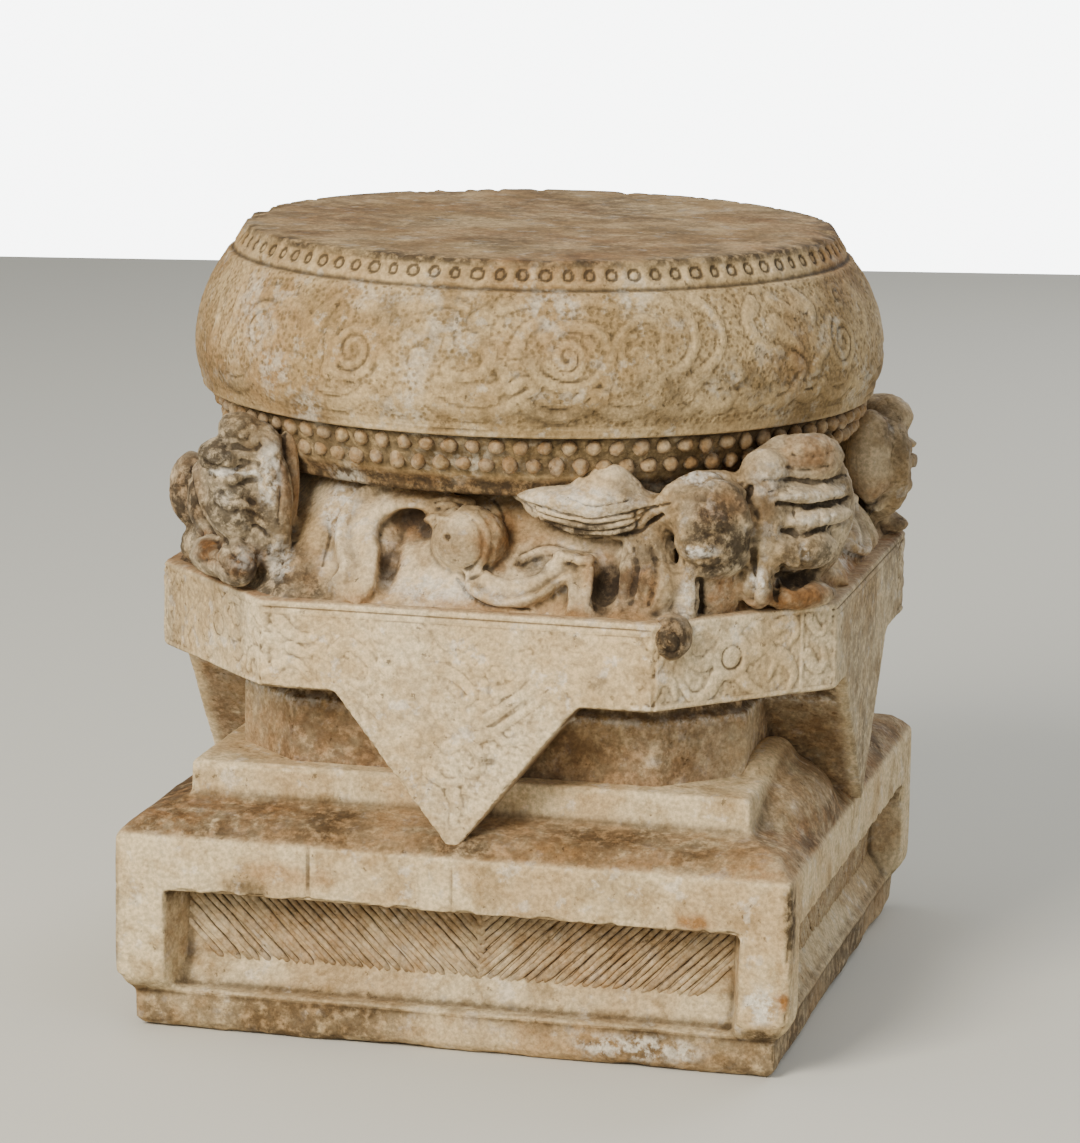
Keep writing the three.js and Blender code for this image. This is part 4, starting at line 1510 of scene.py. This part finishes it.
        # Painted shade on the right face, away from the key light.
        away = ramp(x, b.slab_width / 2 - 6, b.slab_width / 2 - 1)
        clay.mark(Weather.GRIME_AND_SHADE, away * np.clip(0.5 + 0.5 * patch, 0, 1))
        left = ramp(x, -118, -126) * ramp(y, -40, -60)
        clay.mark(Weather.GRIME_AND_SHADE, left * np.clip(0.3 + 0.4 * patch, 0, 1))


class Neck(Course):
    """Sloping neck with its balls and ribbons, the leaf hat and the four lions."""

    name = "stone_neck"
    finish = NECK_FINISH
    voxel = 1.25
    limit = 195_000

    LOOP = [
        (-15, 0.86), (-33, 0.9), (-49, 0.86), (-60.5, 0.75), (-64, 0.59), (-62, 0.44), (-57.5, 0.31), (-58, 0.19),
        (-65.5, 0.04),
    ]
    SWING = [(4, 0.32), (13, 0.18), (27, 0.13), (41, 0.2), (51, 0.32), (60, 0.38), (66, 0.32), (68, 0.2), (69, 0.03)]

    @staticmethod
    def face(side: Side) -> float:
        """How far out a side's slab face stands."""
        return (BLOCK.slab_depth if side in (Side.FRONT, Side.BACK) else BLOCK.slab_width) / 2

    def reach(self, side: Side, rise: Array | float) -> Array | float:
        """How far out the neck's face stands, by share of its height."""
        foot = self.face(side) - BLOCK.neck_ledge
        head = BLOCK.neck_radius * math.cos(math.pi / 8)
        return foot + (head - foot) * rise

    def rough(self) -> list[Object]:
        """Neck, ribbons, balls, hat and lions as closed forms."""
        b = BLOCK
        foot = octagon(b.slab_width, b.slab_depth, b.front_face, b.side_fore, b.side_aft, b.slab_top - 3, b.neck_ledge)
        top = foot.copy()
        lengths = np.linalg.norm(top[:, :2], axis=1)[:, None]
        top[:, :2] *= b.neck_radius / lengths
        top[:, 2] = b.neck_top + 3
        forms = [loft_object("neck", [foot, top])]
        for side in Side:
            forms += [self.ribbon(side, self.LOOP, 24, 7), self.ribbon(side, self.SWING, 17, 6.5), *self.ball(side)]
        forms += self.hat()
        for figure, perch in self.lions():
            for lump in figure.lumps:
                forms.append(self.lump(lump, perch.matrix()))
        return forms

    @staticmethod
    def lions() -> list[tuple[Figure, Perch]]:
        """The four lions and where they stand."""
        return [
            (TURNED_LION, Perch(45)),
            (TURNED_LION.mirrored(), Perch(135, 0.87, 5)),
            (HAUNCHED_LION, Perch(225)),
            (HAUNCHED_LION, Perch(315)),
        ]

    @staticmethod
    def lump(lump: Lump, frame_: Matrix, detail: int = 4) -> Object:
        """One ellipsoid of a figure."""
        lean = Matrix.Rotation(math.radians(lump.lean), 4, "Y")
        matrix = frame_ @ Matrix.Translation(lump.place) @ lean @ Matrix.Diagonal((*lump.half, 1))
        shape = bmesh.new()
        bmesh.ops.create_icosphere(shape, subdivisions=detail, radius=1, matrix=matrix)
        if matrix.determinant() < 0:
            bmesh.ops.reverse_faces(shape, faces=shape.faces)
        return mesh_object("lump", shape)

    def ball(self, side: Side) -> list[Object]:
        """Ball of a side, half sunk in the neck, with the ribbon's knot on its left."""
        places = [((0, 0.57), 3, (22, 19, 19)), ((-19, 0.68), 2, (11, 9, 6)), ((-12, 0.86), 2, (13, 7, 4.5))]
        return [
            self.lump(Lump((x, -self.reach(side, rise) - out, BLOCK.slab_top + rise * 60), half), side_matrix(side))
            for (x, rise), out, half in places
        ]

    def ribbon(self, side: Side, places: Sequence[Place], width: float, height: float) -> Object:
        """Ribbon with turned-up edges, laid on the neck through places across and up a face."""
        b = BLOCK
        rise = b.neck_top - b.slab_top
        scale = 1 if side in (Side.FRONT, Side.BACK) else 0.93
        knots = [(x * scale, -self.reach(side, r), b.slab_top + r * rise) for x, r in places]
        path = curve(knots, 7)
        slope = self.reach(side, 0) - self.reach(side, 1)
        outward = np.array([0, -rise, slope]) / math.hypot(rise, slope)
        section = [(-1, -8), (-1, 0.4), (-0.9, 0.85), (-0.74, 1), (-0.56, 0.85), (-0.38, 0.45), (-0.1, 0.5)]
        section += [(0.25, 0.78), (0.6, 0.9), (0.86, 0.8), (1, 0.4), (1, -8)]
        tangents = np.gradient(path, axis=0)
        rings = []
        for k, (middle, tangent) in enumerate(zip(path, tangents)):
            across = np.cross(outward, tangent)
            across /= np.linalg.norm(across)
            wide = min(1, 0.45 + 0.12 * k) * width / 2
            thick = height * min(1, 0.5 + 0.1 * k, 0.5 + 0.06 * (len(path) - 1 - k))
            lifts = [(spot * wide, lift if lift < 0 else lift * thick) for spot, lift in section]
            rings.append([middle + across * spot + outward * lift for spot, lift in lifts])
        return loft_object("ribbon", rings, side)

    def hat(self) -> list[Object]:
        """Leaf hat and the draped stem under it, right of the front ball."""
        out = -self.reach(Side.FRONT, 1)
        forms = [
            *ellipsoids(
                (66, out - 18, 308, 44, 21, 8), (67, out - 17, 301, 38, 20, 10), (72, out - 17, 294, 26, 18, 8),
                (76, out - 19, 315, 20, 14, 9), (78, out - 20, 321, 12, 11, 7), (99, out - 17, 277, 15, 14, 24),
                (105, out - 24, 262, 14, 16, 18), (91, out - 25, 262, 9, 13, 18),
            ),
        ]
        return [self.lump(form, Matrix.Identity(4)) for form in forms]

    def carve(self, clay: Clay) -> None:
        """Wears everything soft, then cuts the lions, the hat, the balls and the ribbons' edges."""
        clay.relax(5)
        figures = np.zeros(len(clay.points))
        for _, perch in self.lions():
            local = perch.inward(clay.points)
            figures = np.maximum(figures, ramp(local[:, 1], -46, -40) * ramp(np.abs(local[:, 0]), 110, 100))
        clay.relax(9, 0.6, figures * ramp(np.abs(clay.points[:, :2]).min(1), 58, 66))
        rough = clay.noise(20, 71, 4)
        fine = clay.noise(4, 72, 2)
        edge = ramp(-clay.hollow(12), 0.5, 2)
        clay.push(-0.2 + 0.22 * rough + 0.12 * fine - edge * 0.4)
        heights = np.zeros(len(clay.points))
        outward = clay.normals()
        for number, (figure, perch) in enumerate(self.lions()):
            local = perch.inward(clay.points)
            flat, _ = figure.drawing(local)
            _, facing = figure.drawing(perch.inward(outward, places=False))
            near = ramp(local[:, 1], -50, -40) * ramp(np.abs(local[:, 0]), 108, 98)
            seen = near * ramp(facing, 0.02, 0.3)
            index = np.flatnonzero(seen > 0.01)
            shift = 2.2 * wander(local[index], 11, 80 + 2 * number)
            drawn = np.zeros(len(index))
            for cut in figure.lines:
                cut.mark(drawn, flat[index] + shift)
            heights[index] += 0.68 * drawn * seen[index]
            body = near * ramp(np.abs(local[:, 0]), 104, 96) * ramp(local[:, 1], -36, -28)
            close = np.flatnonzero(body > 0.01)
            lumpy = noise(local[close], 7.5, 96 + number, 3)
            cracks = ramp(np.abs(noise(local[close], 9, 90 + number, 2)), 0.16, 0.02)
            heights[close] += body[close] * (1.1 * lumpy - 0.35 * cracks)
            add_stains(clay, flat, figure.stains, seen, 100 + number)
            dirt = figure.dirt + 0.55 * noise(local[close], 22, 108 + number, 3)
            clay.mark(Weather.GRIME_AND_SHADE, np.clip(dirt, 0, 1) * body[close], close)
        clay.push(heights)
        for side in Side:
            self.carve_side(clay, side)
        self.carve_hat(clay)
        self.weather(clay)

    def carve_side(self, clay: Clay, side: Side) -> None:
        """Turned grooves on a ball, its drilled eye, and the lines along the ribbons."""
        places = turned_back(clay.points, side.value)
        index = np.flatnonzero((-places[:, 1] > 118) & (np.abs(places[:, 0]) < 96) & (places[:, 2] > 246))
        local = places[index]
        flat = np.stack([local[:, 0], (local[:, 2] - BLOCK.slab_top) / 60], 1) * np.array([1, 60])
        heights = np.zeros(len(index))
        cuts = [
            *(Cut(arc((-3, 34.5), radius, -72, 58), 3.2, -0.9) for radius in (15.5, 20.5)),
            dot(-8, 38, 5.4, -1.5),
            line([(-28, 44), (-20, 45), (-9, 47)], 3, 1.2),
            line([(-22, 52), (-14, 54), (-6, 52)], 2.6, -1.2),
            line([(30, 25), (43, 30), (57, 28), (70, 27)], 5, 2.8),
            line([(-4, 14), (6, 6), (20, 1.5), (40, 2)], 3, -1),
            line([(-86, 44), (-80, 30), (-80, 16)], 4, -0.9),
        ]
        shift = wander(local, 12, 160)
        for cut in cuts:
            cut.mark(heights, flat + 1.2 * shift)
        hollows = [((-34, 38), (12, 8), 6), ((-42, 21), (5, 15), 3.4), ((36, 23), (10, 4.5), 2.4)]
        hollows.append(((79, 15), (6, 14), 5))
        for middle, reach, depth in hollows:
            gap = np.linalg.norm((flat + shift - np.array(middle)) / np.array(reach), axis=1)
            heights -= depth * ramp(gap, 1.5, 0.35)
        heights += 0.5 * noise(local, 10, 162, 3) * ramp(np.abs(local[:, 0]), 94, 86)
        clay.push(heights, index)

    def carve_hat(self, clay: Clay) -> None:
        """Streaks round the hat's brim and folds down its stem."""
        index = np.flatnonzero((clay.points[:, 1] < -128) & (clay.points[:, 0] > 16) & (clay.points[:, 0] < 122))
        local = clay.points[index]
        flat = local[:, [0, 2]]
        heights = np.zeros(len(index))
        flat = flat + 1.1 * wander(local, 12, 164)
        for drop in (0, 3.6, 7.4, 11):
            bow = [(20 + drop * 1.6, 309 - drop * 0.5), (42, 304 - drop), (68, 300 - drop), (92, 304 - drop)]
            line([*bow, (112 - drop * 1.6, 310 - drop * 0.5)], 2.8, -1.5).mark(heights, flat)
        line([(24, 303), (44, 292), (68, 286), (92, 292), (108, 303)], 3.4, -2.6).mark(heights, flat)
        line([(60, 311), (72, 307), (90, 311)], 2.4, -1.3).mark(heights, flat)
        for x in (92, 103):
            line([(x, 284), (x + 4, 272), (x + 1, 256)], 6, -1.6).mark(heights, flat)
        heights += 0.9 * noise(local, 8, 166, 3) * ramp(local[:, 2], 296, 288)
        clay.push(heights, index)

    def weather(self, clay: Clay) -> None:
        """Stains: grime on the lions, ochre low down; painted shade under the drum, in the ribbon hollows and under
        the hat's brim.
        """
        b = BLOCK
        x, y, z = clay.points.T
        patch = clay.noise(40, 111, 3)
        # Painted shade under the drum's overhang.
        under = ramp(z, b.neck_top - 16, b.neck_top) * ramp(np.hypot(x, y), 176, 166)
        clay.mark(Weather.GRIME_AND_SHADE, 0.8 * under)
        low = ramp(z, b.slab_top + 12, b.slab_top + 2)
        clay.mark(Weather.OCHRE, low * np.clip(0.45 + 0.7 * patch, 0, 1))
        for side in Side:
            places = turned_back(clay.points, side.value)
            seen = ramp(-places[:, 1], 118, 124) * ramp(np.abs(places[:, 0]), 114, 106)
            stains = [
                *blots(
                    Weather.OCHRE, (-35, 286, 14, 10, 0.75), (-42, 268, 8, 16, 0.5), (17, 282, 8, 18, 0.8),
                    (34, 288, 22, 14, 0.3), (76, 272, 10, 18, 0.5), (-92, 260, 14, 14, 0.45),
                ),
                *blots(
                    # The blots at (-33, 288), (-42, 268), (36, 271) and (79, 263) sit in the carved ribbon hollows and
                    # are painted shade; the others are grime.
                    Weather.GRIME_AND_SHADE, (-33, 288, 11, 7, 0.7), (-42, 268, 5, 14, 0.5), (19, 279, 6, 15, 0.4),
                    (-2, 280, 18, 14, 0.25), (36, 271, 11, 5, 0.75), (52, 261, 14, 6, 0.35), (79, 263, 8, 15, 1.0),
                    (-80, 278, 6, 12, 0.45),
                ),
                *blots(Weather.LIME_AND_HIGHLIGHT, (-76, 292, 12, 16, 0.8), (-10, 256, 40, 8, 0.55)),
            ]
            if side is Side.FRONT:
                stains += [
                    # The blot at (66, 292) is painted shade under the hat's brim.
                    *blots(Weather.GRIME_AND_SHADE, (66, 292, 38, 6, 1.0), (98, 272, 18, 20, 0.75), (24, 308, 6, 3, 1.0)),
                    *blots(Weather.OCHRE, (98, 264, 18, 16, 0.7)),
                    *blots(Weather.LIME_AND_HIGHLIGHT, (62, 309, 38, 8, 0.6)),
                ]
            add_stains(clay, places[:, [0, 2]], stains, seen, 120 + side.value)


class Drum(Course):
    """Round drum: cavetto, studs, fillet, carved belly, drilled pits and worn seat."""

    name = "stone_drum"
    finish = DRUM_FINISH
    limit = 178_000
    columns = 792

    def profile(self) -> Array:
        """Radius and height up the drum's outside, close to evenly spaced."""
        b = BLOCK
        z = np.linspace(b.belly_foot, b.shoulder, 24)
        below = z < b.belly_middle
        span = np.where(below, b.belly_middle - b.belly_foot, b.shoulder - b.belly_middle)
        edge = np.where(below, b.fillet_radius, b.shoulder_radius)
        radius = b.belly_radius - (b.belly_radius - edge) * ((z - b.belly_middle) / span) ** 2
        knots = [(b.drum_foot_radius - 1.5, b.neck_top), (b.drum_foot_radius, b.neck_top + 1.5)]
        knots += [(b.drum_foot_radius + 1, b.stud_foot - 7), (b.drum_foot_radius + 5.6, b.stud_foot)]
        knots += [(b.drum_foot_radius + 14.4, b.fillet_foot), (b.fillet_radius - 1.2, b.fillet_foot + 0.8)]
        knots += [(b.fillet_radius, b.fillet_foot + 2), (b.fillet_radius - 0.3, b.belly_foot - 0.6)]
        knots += list(zip(radius, z))
        knots += [(b.shoulder_radius - 2.2, b.shoulder + 0.8), (b.shoulder_radius - 2.6, b.shoulder + 2.6)]
        knots += [(b.seat_radius + 3.4, b.seat - 2.6), (b.seat_radius + 2.4, b.seat - 0.5)]
        knots.append((b.seat_radius + 0.6, b.seat))
        knots = np.array(knots)
        along = np.concatenate([[0], np.cumsum(np.linalg.norm(np.diff(knots, axis=0), axis=1))])
        steps = np.arange(0, along[-1], 1.5)
        return np.stack([np.interp(steps, along, knots[:, 0]), np.interp(steps, along, knots[:, 1])], 1)

    def surface(self) -> Clay:
        """Grid round the axis, closed at the foot and at the seat."""
        outside = self.profile()
        seat = [(r, BLOCK.seat) for r in (156, 145, 130, 110, 86, 60, 34, 12)]
        foot = [(30, BLOCK.neck_top), (90, BLOCK.neck_top), (140, BLOCK.neck_top), (160, BLOCK.neck_top)]
        rings = np.array([*foot, *outside, *seat])
        angle = np.arange(self.columns) * 2 * math.pi / self.columns
        grid = np.stack([
            rings[:, :1] * np.cos(angle), rings[:, :1] * np.sin(angle), np.repeat(rings[:, 1:], self.columns, 1)
        ], 2)
        rows, columns = grid.shape[:2]
        number = np.arange(rows * columns).reshape(rows, columns)
        after = np.roll(number, -1, axis=1)
        quads = np.stack([number[:-1], after[:-1], after[1:], number[1:]], 2).reshape(-1, 4).tolist()
        mesh = bpy.data.meshes.new(self.name)
        caps = [number[0, ::-1].tolist(), number[-1].tolist()]
        mesh.from_pydata((grid.reshape(-1, 3) * MM).tolist(), [], quads + caps)
        mesh.update()
        return Clay(self.name, added(self.name, mesh))

    def carve(self, clay: Clay) -> None:
        """Cuts the belly's scrolls, drills the pits and wears the rim."""
        b = BLOCK
        x, y, z = clay.points.T
        turn = np.degrees(np.arctan2(y, x))
        across = np.radians((turn + 270) % 360 - 180) * 195
        flat = np.stack([across, z], 1) + 1.6 * wander(clay.points, 30, 131, 2)
        belly = (z > b.belly_foot - 0.5) & (z < b.shoulder - 1) & (np.hypot(x, y) > 160)
        index = np.flatnonzero(belly)
        heights = np.zeros(len(clay.points))
        relief, ground = Tracery(self.scrolls()).relief(flat[index], 1.1, 140)
        relief *= 0.75 + 0.6 * noise(clay.points[index], 34, 141, 3)
        fade = ramp(z[index], b.shoulder - 0.5, b.shoulder - 5)
        heights[index] = relief * fade
        heights -= 1.6 * np.exp(-(((z - b.shoulder) / 1.2) ** 2)) * (np.hypot(x, y) > 160)
        pitch = 2 * math.pi / 88
        wobble = 0.12 * (cell_value(np.stack([np.round(np.arctan2(y, x) / pitch).astype(int)], 1), 5) - 0.5)
        off = (np.arctan2(y, x) / pitch + wobble) % 1 - 0.5
        pit = np.hypot(off * pitch * 172, (z - (b.shoulder + 7.6)) * 1.05)
        heights -= 1.9 * ramp(pit, 4.5, 3.2) - 1.1 * ramp(pit, 2.8, 1)
        rim = ramp(z, b.seat - 3.5, b.seat - 1) * ramp(np.hypot(x, y), 159, 163)
        chips = ramp(clay.noise(13, 133, 3), 0.05, 0.35)
        heights -= rim * (0.1 + 2.2 * chips)
        heights += -0.15 + 0.3 * clay.noise(22, 134, 3) + 0.18 * clay.noise(5, 135, 2)
        clay.push(heights)
        clay.relax(1, 0.35)
        self.weather(clay, index, ground)

    def weather(self, clay: Clay, index: Array, ground: Array) -> None:
        """Stains: a dark seat, lime and grime in patches on the belly; painted shade between and under the studs."""
        b = BLOCK
        x, y, z = clay.points.T
        patch = clay.noise(60, 151, 3)
        small = clay.noise(22, 152, 3)
        clay.mark(Weather.DUST, ground, index)
        # Painted shade between the studs.
        studs = ramp(z, b.stud_foot - 3, b.stud_foot + 2) * ramp(z, b.fillet_foot + 1, b.fillet_foot - 1)
        clay.mark(Weather.GRIME_AND_SHADE, studs * 0.75)
        # Painted shade on the cavetto under the studs; the ochre there is a stain.
        cavetto = ramp(z, b.stud_foot, b.stud_foot - 5) * (np.hypot(x, y) > 160)
        clay.mark(Weather.OCHRE, cavetto * np.clip(0.5 + 0.4 * patch, 0, 1))
        clay.mark(Weather.GRIME_AND_SHADE, cavetto * np.clip(1.1 + 0.5 * small, 0, 1))
        seat = ramp(z, b.seat - 2.6, b.seat - 1)
        clay.mark(Weather.GRIME_AND_SHADE, seat * np.clip(0.46 + 0.5 * small, 0, 0.75))
        clay.mark(Weather.OCHRE, seat * np.clip(0.3 + 0.6 * patch, 0, 0.8))
        rim = np.exp(-(((np.hypot(x, y) - 166.5) / 3) ** 4)) * ramp(z, b.seat - 5.5, b.seat - 3.5)
        clay.mark(Weather.GRIME_AND_SHADE, rim * np.clip(1.0 + 1.2 * small, 0, 1))
        clay.mark(Weather.LIME_AND_HIGHLIGHT, np.clip(small * 1.2 - 0.1, 0, 0.5) * (z < b.shoulder))
        clay.mark(Weather.OCHRE, np.clip(patch - 0.1, 0, 0.6))
        clay.mark(Weather.GRIME_AND_SHADE, np.clip(clay.noise(34, 153, 4) - 0.1, 0, 0.6))
        lobes = ramp(z, b.belly_foot + 22, b.belly_foot + 12) * ramp(z, b.belly_foot + 3, b.belly_foot + 7)
        clay.mark(Weather.GRIME_AND_SHADE, lobes * np.clip(0.25 + 0.9 * clay.noise(48, 154, 3), 0, 0.7))
        clay.mark(Weather.OCHRE, ramp(x, 0, -120) * (y < 0) * np.clip(0.2 + 0.4 * small, 0, 0.4))
        clay.points[:, 0] -= 1.4

    @staticmethod
    def around(places: Array | Sequence[Place]) -> Array:
        """Brings places in degrees and height to millimetres round the drum from its front, and height."""
        made = np.array(places, float)
        made[:, 0] = np.radians(made[:, 0] + 90) * 195
        return made

    def scrolls(self) -> list[Band]:
        """Bands of the belly, across in millimetres round the drum from its front, and up."""
        leaves = [
            ([(-117, 394), (-115.5, 403), (-113, 412)], 9, 5), ([(-112, 374), (-111.5, 384), (-113, 394)], 7, 5),
            ([(-107, 409), (-103.5, 408), (-103, 401), (-105, 395)], 7, 3),
            ([(-103, 386), (-101.5, 380), (-103, 372)], 7, 4),
            ([(-98, 396), (-95, 401), (-92, 399), (-91.5, 392)], 7, 3),
            ([(-96, 386), (-94.5, 381), (-95, 376)], 8, 5), ([(-98, 412), (-93, 415), (-89, 412)], 6, 3),
            ([(-85.5, 409), (-87.5, 405), (-85.5, 401)], 7, 4),
            ([(-88.5, 396), (-86, 394), (-84.5, 387), (-85.5, 380), (-89, 376), (-91.5, 380), (-90, 385)], 6.5, 3),
            ([(-92, 371), (-88, 367), (-84, 369), (-82, 376), (-83, 384)], 8, 4),
            ([(-81, 371), (-79, 375), (-77, 372), (-78.5, 368)], 4.5, 3),
            ([(-80.5, 392), (-79, 402), (-76, 409)], 6, 3), ([(-83, 414), (-79, 417), (-75, 414)], 6, 3),
            ([(-78, 386), (-76.5, 377), (-72, 372), (-68, 376), (-66, 383)], 4.5, 3.5),
            ([(-76, 399), (-72, 405), (-67, 402), (-65.5, 394)], 4.5, 3.5),
            ([(-71, 364), (-69, 370), (-66.5, 368), (-67, 363)], 4.5, 3),
            ([(-74, 415), (-69, 417), (-64, 414)], 4, 3),
            ([(-66, 374), (-65, 390), (-62, 403), (-58.5, 408), (-56, 400), (-57, 388)], 3.6, 3),
            ([(-63, 417), (-56, 417), (-51.5, 409), (-50.5, 396), (-53, 383), (-57, 377)], 4.6, 4),
            ([(-50, 417), (-46.5, 409), (-45.5, 397), (-47.5, 385), (-51, 377)], 4.2, 4),
            ([(-52, 372), (-49.5, 377), (-47.5, 374)], 6, 3),
            ([(-37.5, 412), (-39.5, 405), (-39, 396), (-36.5, 388), (-33.5, 385)], 7, 4),
            ([(-34, 400), (-31.5, 393), (-29, 386)], 9, 4), ([(-33, 414), (-30, 408), (-27, 402)], 6, 3),
            ([(-43.5, 380), (-42.3, 376), (-43.4, 373)], 4, 3), ([(-31, 380), (-29, 376), (-29.5, 371)], 7, 3),
            ([(-26, 374), (-24, 381), (-21, 386)], 6, 3), ([(-27, 412), (-24, 406), (-24.5, 400)], 9, 5),
            ([(-8, 412), (-5, 402), (-6, 392), (-9, 384)], 6, 4),
            ([(-135, 404), (-129, 410), (-122, 406), (-118, 397), (-118, 384)], 5, 4),
            ([(-140, 378), (-138, 392), (-139, 408)], 6, 4), ([(-146, 372), (-144, 386), (-146, 402)], 7, 4),
            ([(-124, 370), (-121, 377), (-117, 375)], 6, 4),
        ]
        bands = [Band(self.around(curve(places)), 1.35 * start, 1.2 * end) for places, start, end in leaves]
        curls = [
            (-108, 386, 17, 2.1, 150, 4.6), (-129.5, 389, 15, 1.9, 20, 4.4), (-72, 388.5, 11, 1.7, 200, 4.2),
            (-61, 389, 10, 1.3, 90, 3), (-59, 367, 7, 1.3, 60, 3), (-54, 365.5, 6.5, 1.3, 120, 3),
            (-47, 366.5, 6, 1.3, 0, 3.2), (-41.6, 365.5, 5.5, 1.3, 180, 2.8), (-36, 367, 6, 1.3, 60, 3),
            (-30.5, 364, 5, 1.3, 0, 2.6), (-17, 386, 16, 2.2, 120, 4.4), (-14, 408, 8, 1.3, 0, 3.4),
            (-99, 366, 7, 1.3, 90, 3.4), (-124, 414, 6, 1.2, 0, 3), (-40, 386, 4, 1, 0, 2.6),
        ]
        for angle, height, radius, turns, start, width in curls:
            centre = (math.radians(angle + 90) * 195, height)
            bands.append(Band(spiral(centre, radius, turns, start), width, 0.75 * width))
        for k in range(14):
            centre = (math.radians(7 + 14.3 * k + 90) * 195, 390 + 5 * (-1) ** k)
            bands += leaf_scroll(centre, 38, 90 * k + 20, bool(k % 2))
        return bands + self.lobed_border()

    def lobed_border(self) -> list[Band]:
        """Hanging lobes along the carving's lower edge, and the plain strip under them."""
        cusps = [-141, -130, -118, -104.5, -94.5, -79.5, -68, -58, -50, -44, -38, -31, -24, -14, -3]
        cusps += list(np.linspace(9, 219, 17))
        bands = []
        for start, end in zip(cusps, cusps[1:]):
            share = np.linspace(0, 1, 9)
            deep = min(9.5, 0.5 * (end - start) + 2.5)
            path = np.stack([start + (end - start) * share, 364.5 - deep * np.sin(math.pi * share) ** 0.75], 1)
            bands.append(Band(self.around(path), 7, 7))
            inner = np.stack([path[:, 0], path[:, 1] + 6.5], 1)[2:-2]
            bands.append(Band(self.around(inner), 2.4, 2.4))
        bands.append(Band(self.around([(a - 90, 348.2) for a in range(-180, 181, 4)]), 3, 3))
        return bands

    def extras(self) -> list[Object]:
        """Two rows of studs."""
        b = BLOCK
        beads = BeadRow()
        made = []
        for row in range(2):
            height = b.stud_foot + (row + 0.5) * b.stud_pitch
            radius = b.drum_foot_radius + 6 + (row + 0.5) * b.stud_reach - 0.6
            values = {"count": 88, "radius": radius * MM, "bead": 4.9 * MM, "seed": row}
            place = Matrix.Translation((0, 0, height * MM)) @ Matrix.Rotation(row * math.pi / 88, 4, "Z")
            piece = beads.grown(f"studs {row}", values, place)
            points = mesh_points(piece)
            out = np.hypot(points[:, 0], points[:, 1]) - radius
            # Painted shade on the studs' inner sides and a painted highlight on their outer faces; the fixed grime
            # share is painted shade between the studs, the ochre and lime are stains.
            mark_relief(piece, np.clip(0.5 - out / 4.5, -0.6, 1), np.array([0.25, 0.45, 0.15, 0]))
            made.append(piece)
        return made


class Studio:
    """Pale floor, plain backdrop, soft lights and the camera where the photograph was taken."""

    CAMERA = (0.6398, -2.6860, 0.7761)
    AZIMUTH = math.radians(13.37)
    ELEVATION = math.radians(11.11)
    ROLL = math.radians(0.97)

    def axes(self) -> tuple[Vector, Vector, Vector]:
        """The camera's right, up and backward directions."""
        a, e, r = self.AZIMUTH, self.ELEVATION, self.ROLL
        back = Vector((math.sin(a) * math.cos(e), -math.cos(a) * math.cos(e), math.sin(e)))
        right = (-back).cross(Vector((0, 0, 1))).normalized()
        up = right.cross(-back)
        return right * math.cos(r) + up * math.sin(r), up * math.cos(r) - right * math.sin(r), back

    def camera(self) -> None:
        """Places the camera."""
        data = bpy.data.cameras.new("camera")
        data.sensor_width = 36
        data.lens = 153.55
        data.clip_end = 50
        made = added("camera", data)
        right, up, back = self.axes()
        turn = Matrix((right, up, back)).transposed().to_4x4()
        made.matrix_world = Matrix.Translation(self.CAMERA) @ turn
        bpy.context.scene.camera = made

    def light(self, name: str, place: Place, size: float, power: float, colour: str) -> None:
        """Places a square soft light, aimed at the stone."""
        data = bpy.data.lights.new(name, "AREA")
        data.size = size
        data.energy = power
        data.color = linear(colour)[:3]
        made = added(name, data)
        aim = Vector((0, 0, 0.22)) - Vector(place)
        made.matrix_world = Matrix.Translation(place) @ aim.to_track_quat("-Z", "Y").to_matrix().to_4x4()

    def plane(self, name: str, width: float, height: float, place: Matrix, material: bpy.types.Material) -> Object:
        """Places a flat sheet of the studio."""
        shape = bmesh.new()
        corners = [(-width / 2, 0, 0), (width / 2, 0, 0), (width / 2, height, 0), (-width / 2, height, 0)]
        shape.faces.new([shape.verts.new(corner) for corner in corners])
        bmesh.ops.transform(shape, matrix=place, verts=shape.verts)
        made = mesh_object(name, shape, 1.0)
        made.data.materials.append(material)
        return made

    def build(self) -> None:
        """Builds the whole studio."""
        self.camera()
        turn = Matrix.Rotation(self.AZIMUTH, 4, "Z")
        floor = turn @ Matrix.Translation((0, -8, 0))
        wall = turn @ Matrix.Translation((0, 3.12, 0)) @ Matrix.Rotation(math.radians(90), 4, "X")
        self.plane("floor", 16, 16, floor, plain_material("pale floor, matt", "#d2cfc2"))
        white = one_sided(plain_material("white backdrop, lit", "#f4f7f7", glow=7.0))
        backdrop = self.plane("backdrop", 16, 7, wall, white)
        backdrop.visible_diffuse = False
        backdrop.visible_glossy = False
        self.light("key", (-0.95, -2.6, 1.9), 1.3, 142, "#fff9f0")
        self.light("fill", (2.1, -1.8, 1.3), 2.2, 15, "#f2f6ff")
        self.light("top", (-0.5, 0.2, 2.8), 2.0, 20, "#ffffff")
        self.light("wash", (1.2, 2.6, 1.9), 1.8, 44, "#f4f7ff")
        world = bpy.data.worlds.new("studio air")
        world.use_nodes = True
        world.node_tree.nodes["Background"].inputs[0].default_value = linear("#eef1f4")
        world.node_tree.nodes["Background"].inputs[1].default_value = 0.38
        bpy.context.scene.world = world


def main() -> None:
    """Builds the courses and the studio."""
    logging.basicConfig(level=logging.INFO, format="%(name)s: %(message)s")
    for course in (Plinth(), Slab(), Neck(), Drum()):
        piece = course.build()
        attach(piece, "root")
        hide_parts(NODE)
    Studio().build()
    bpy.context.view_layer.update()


if __name__ == "__main__":
    main()
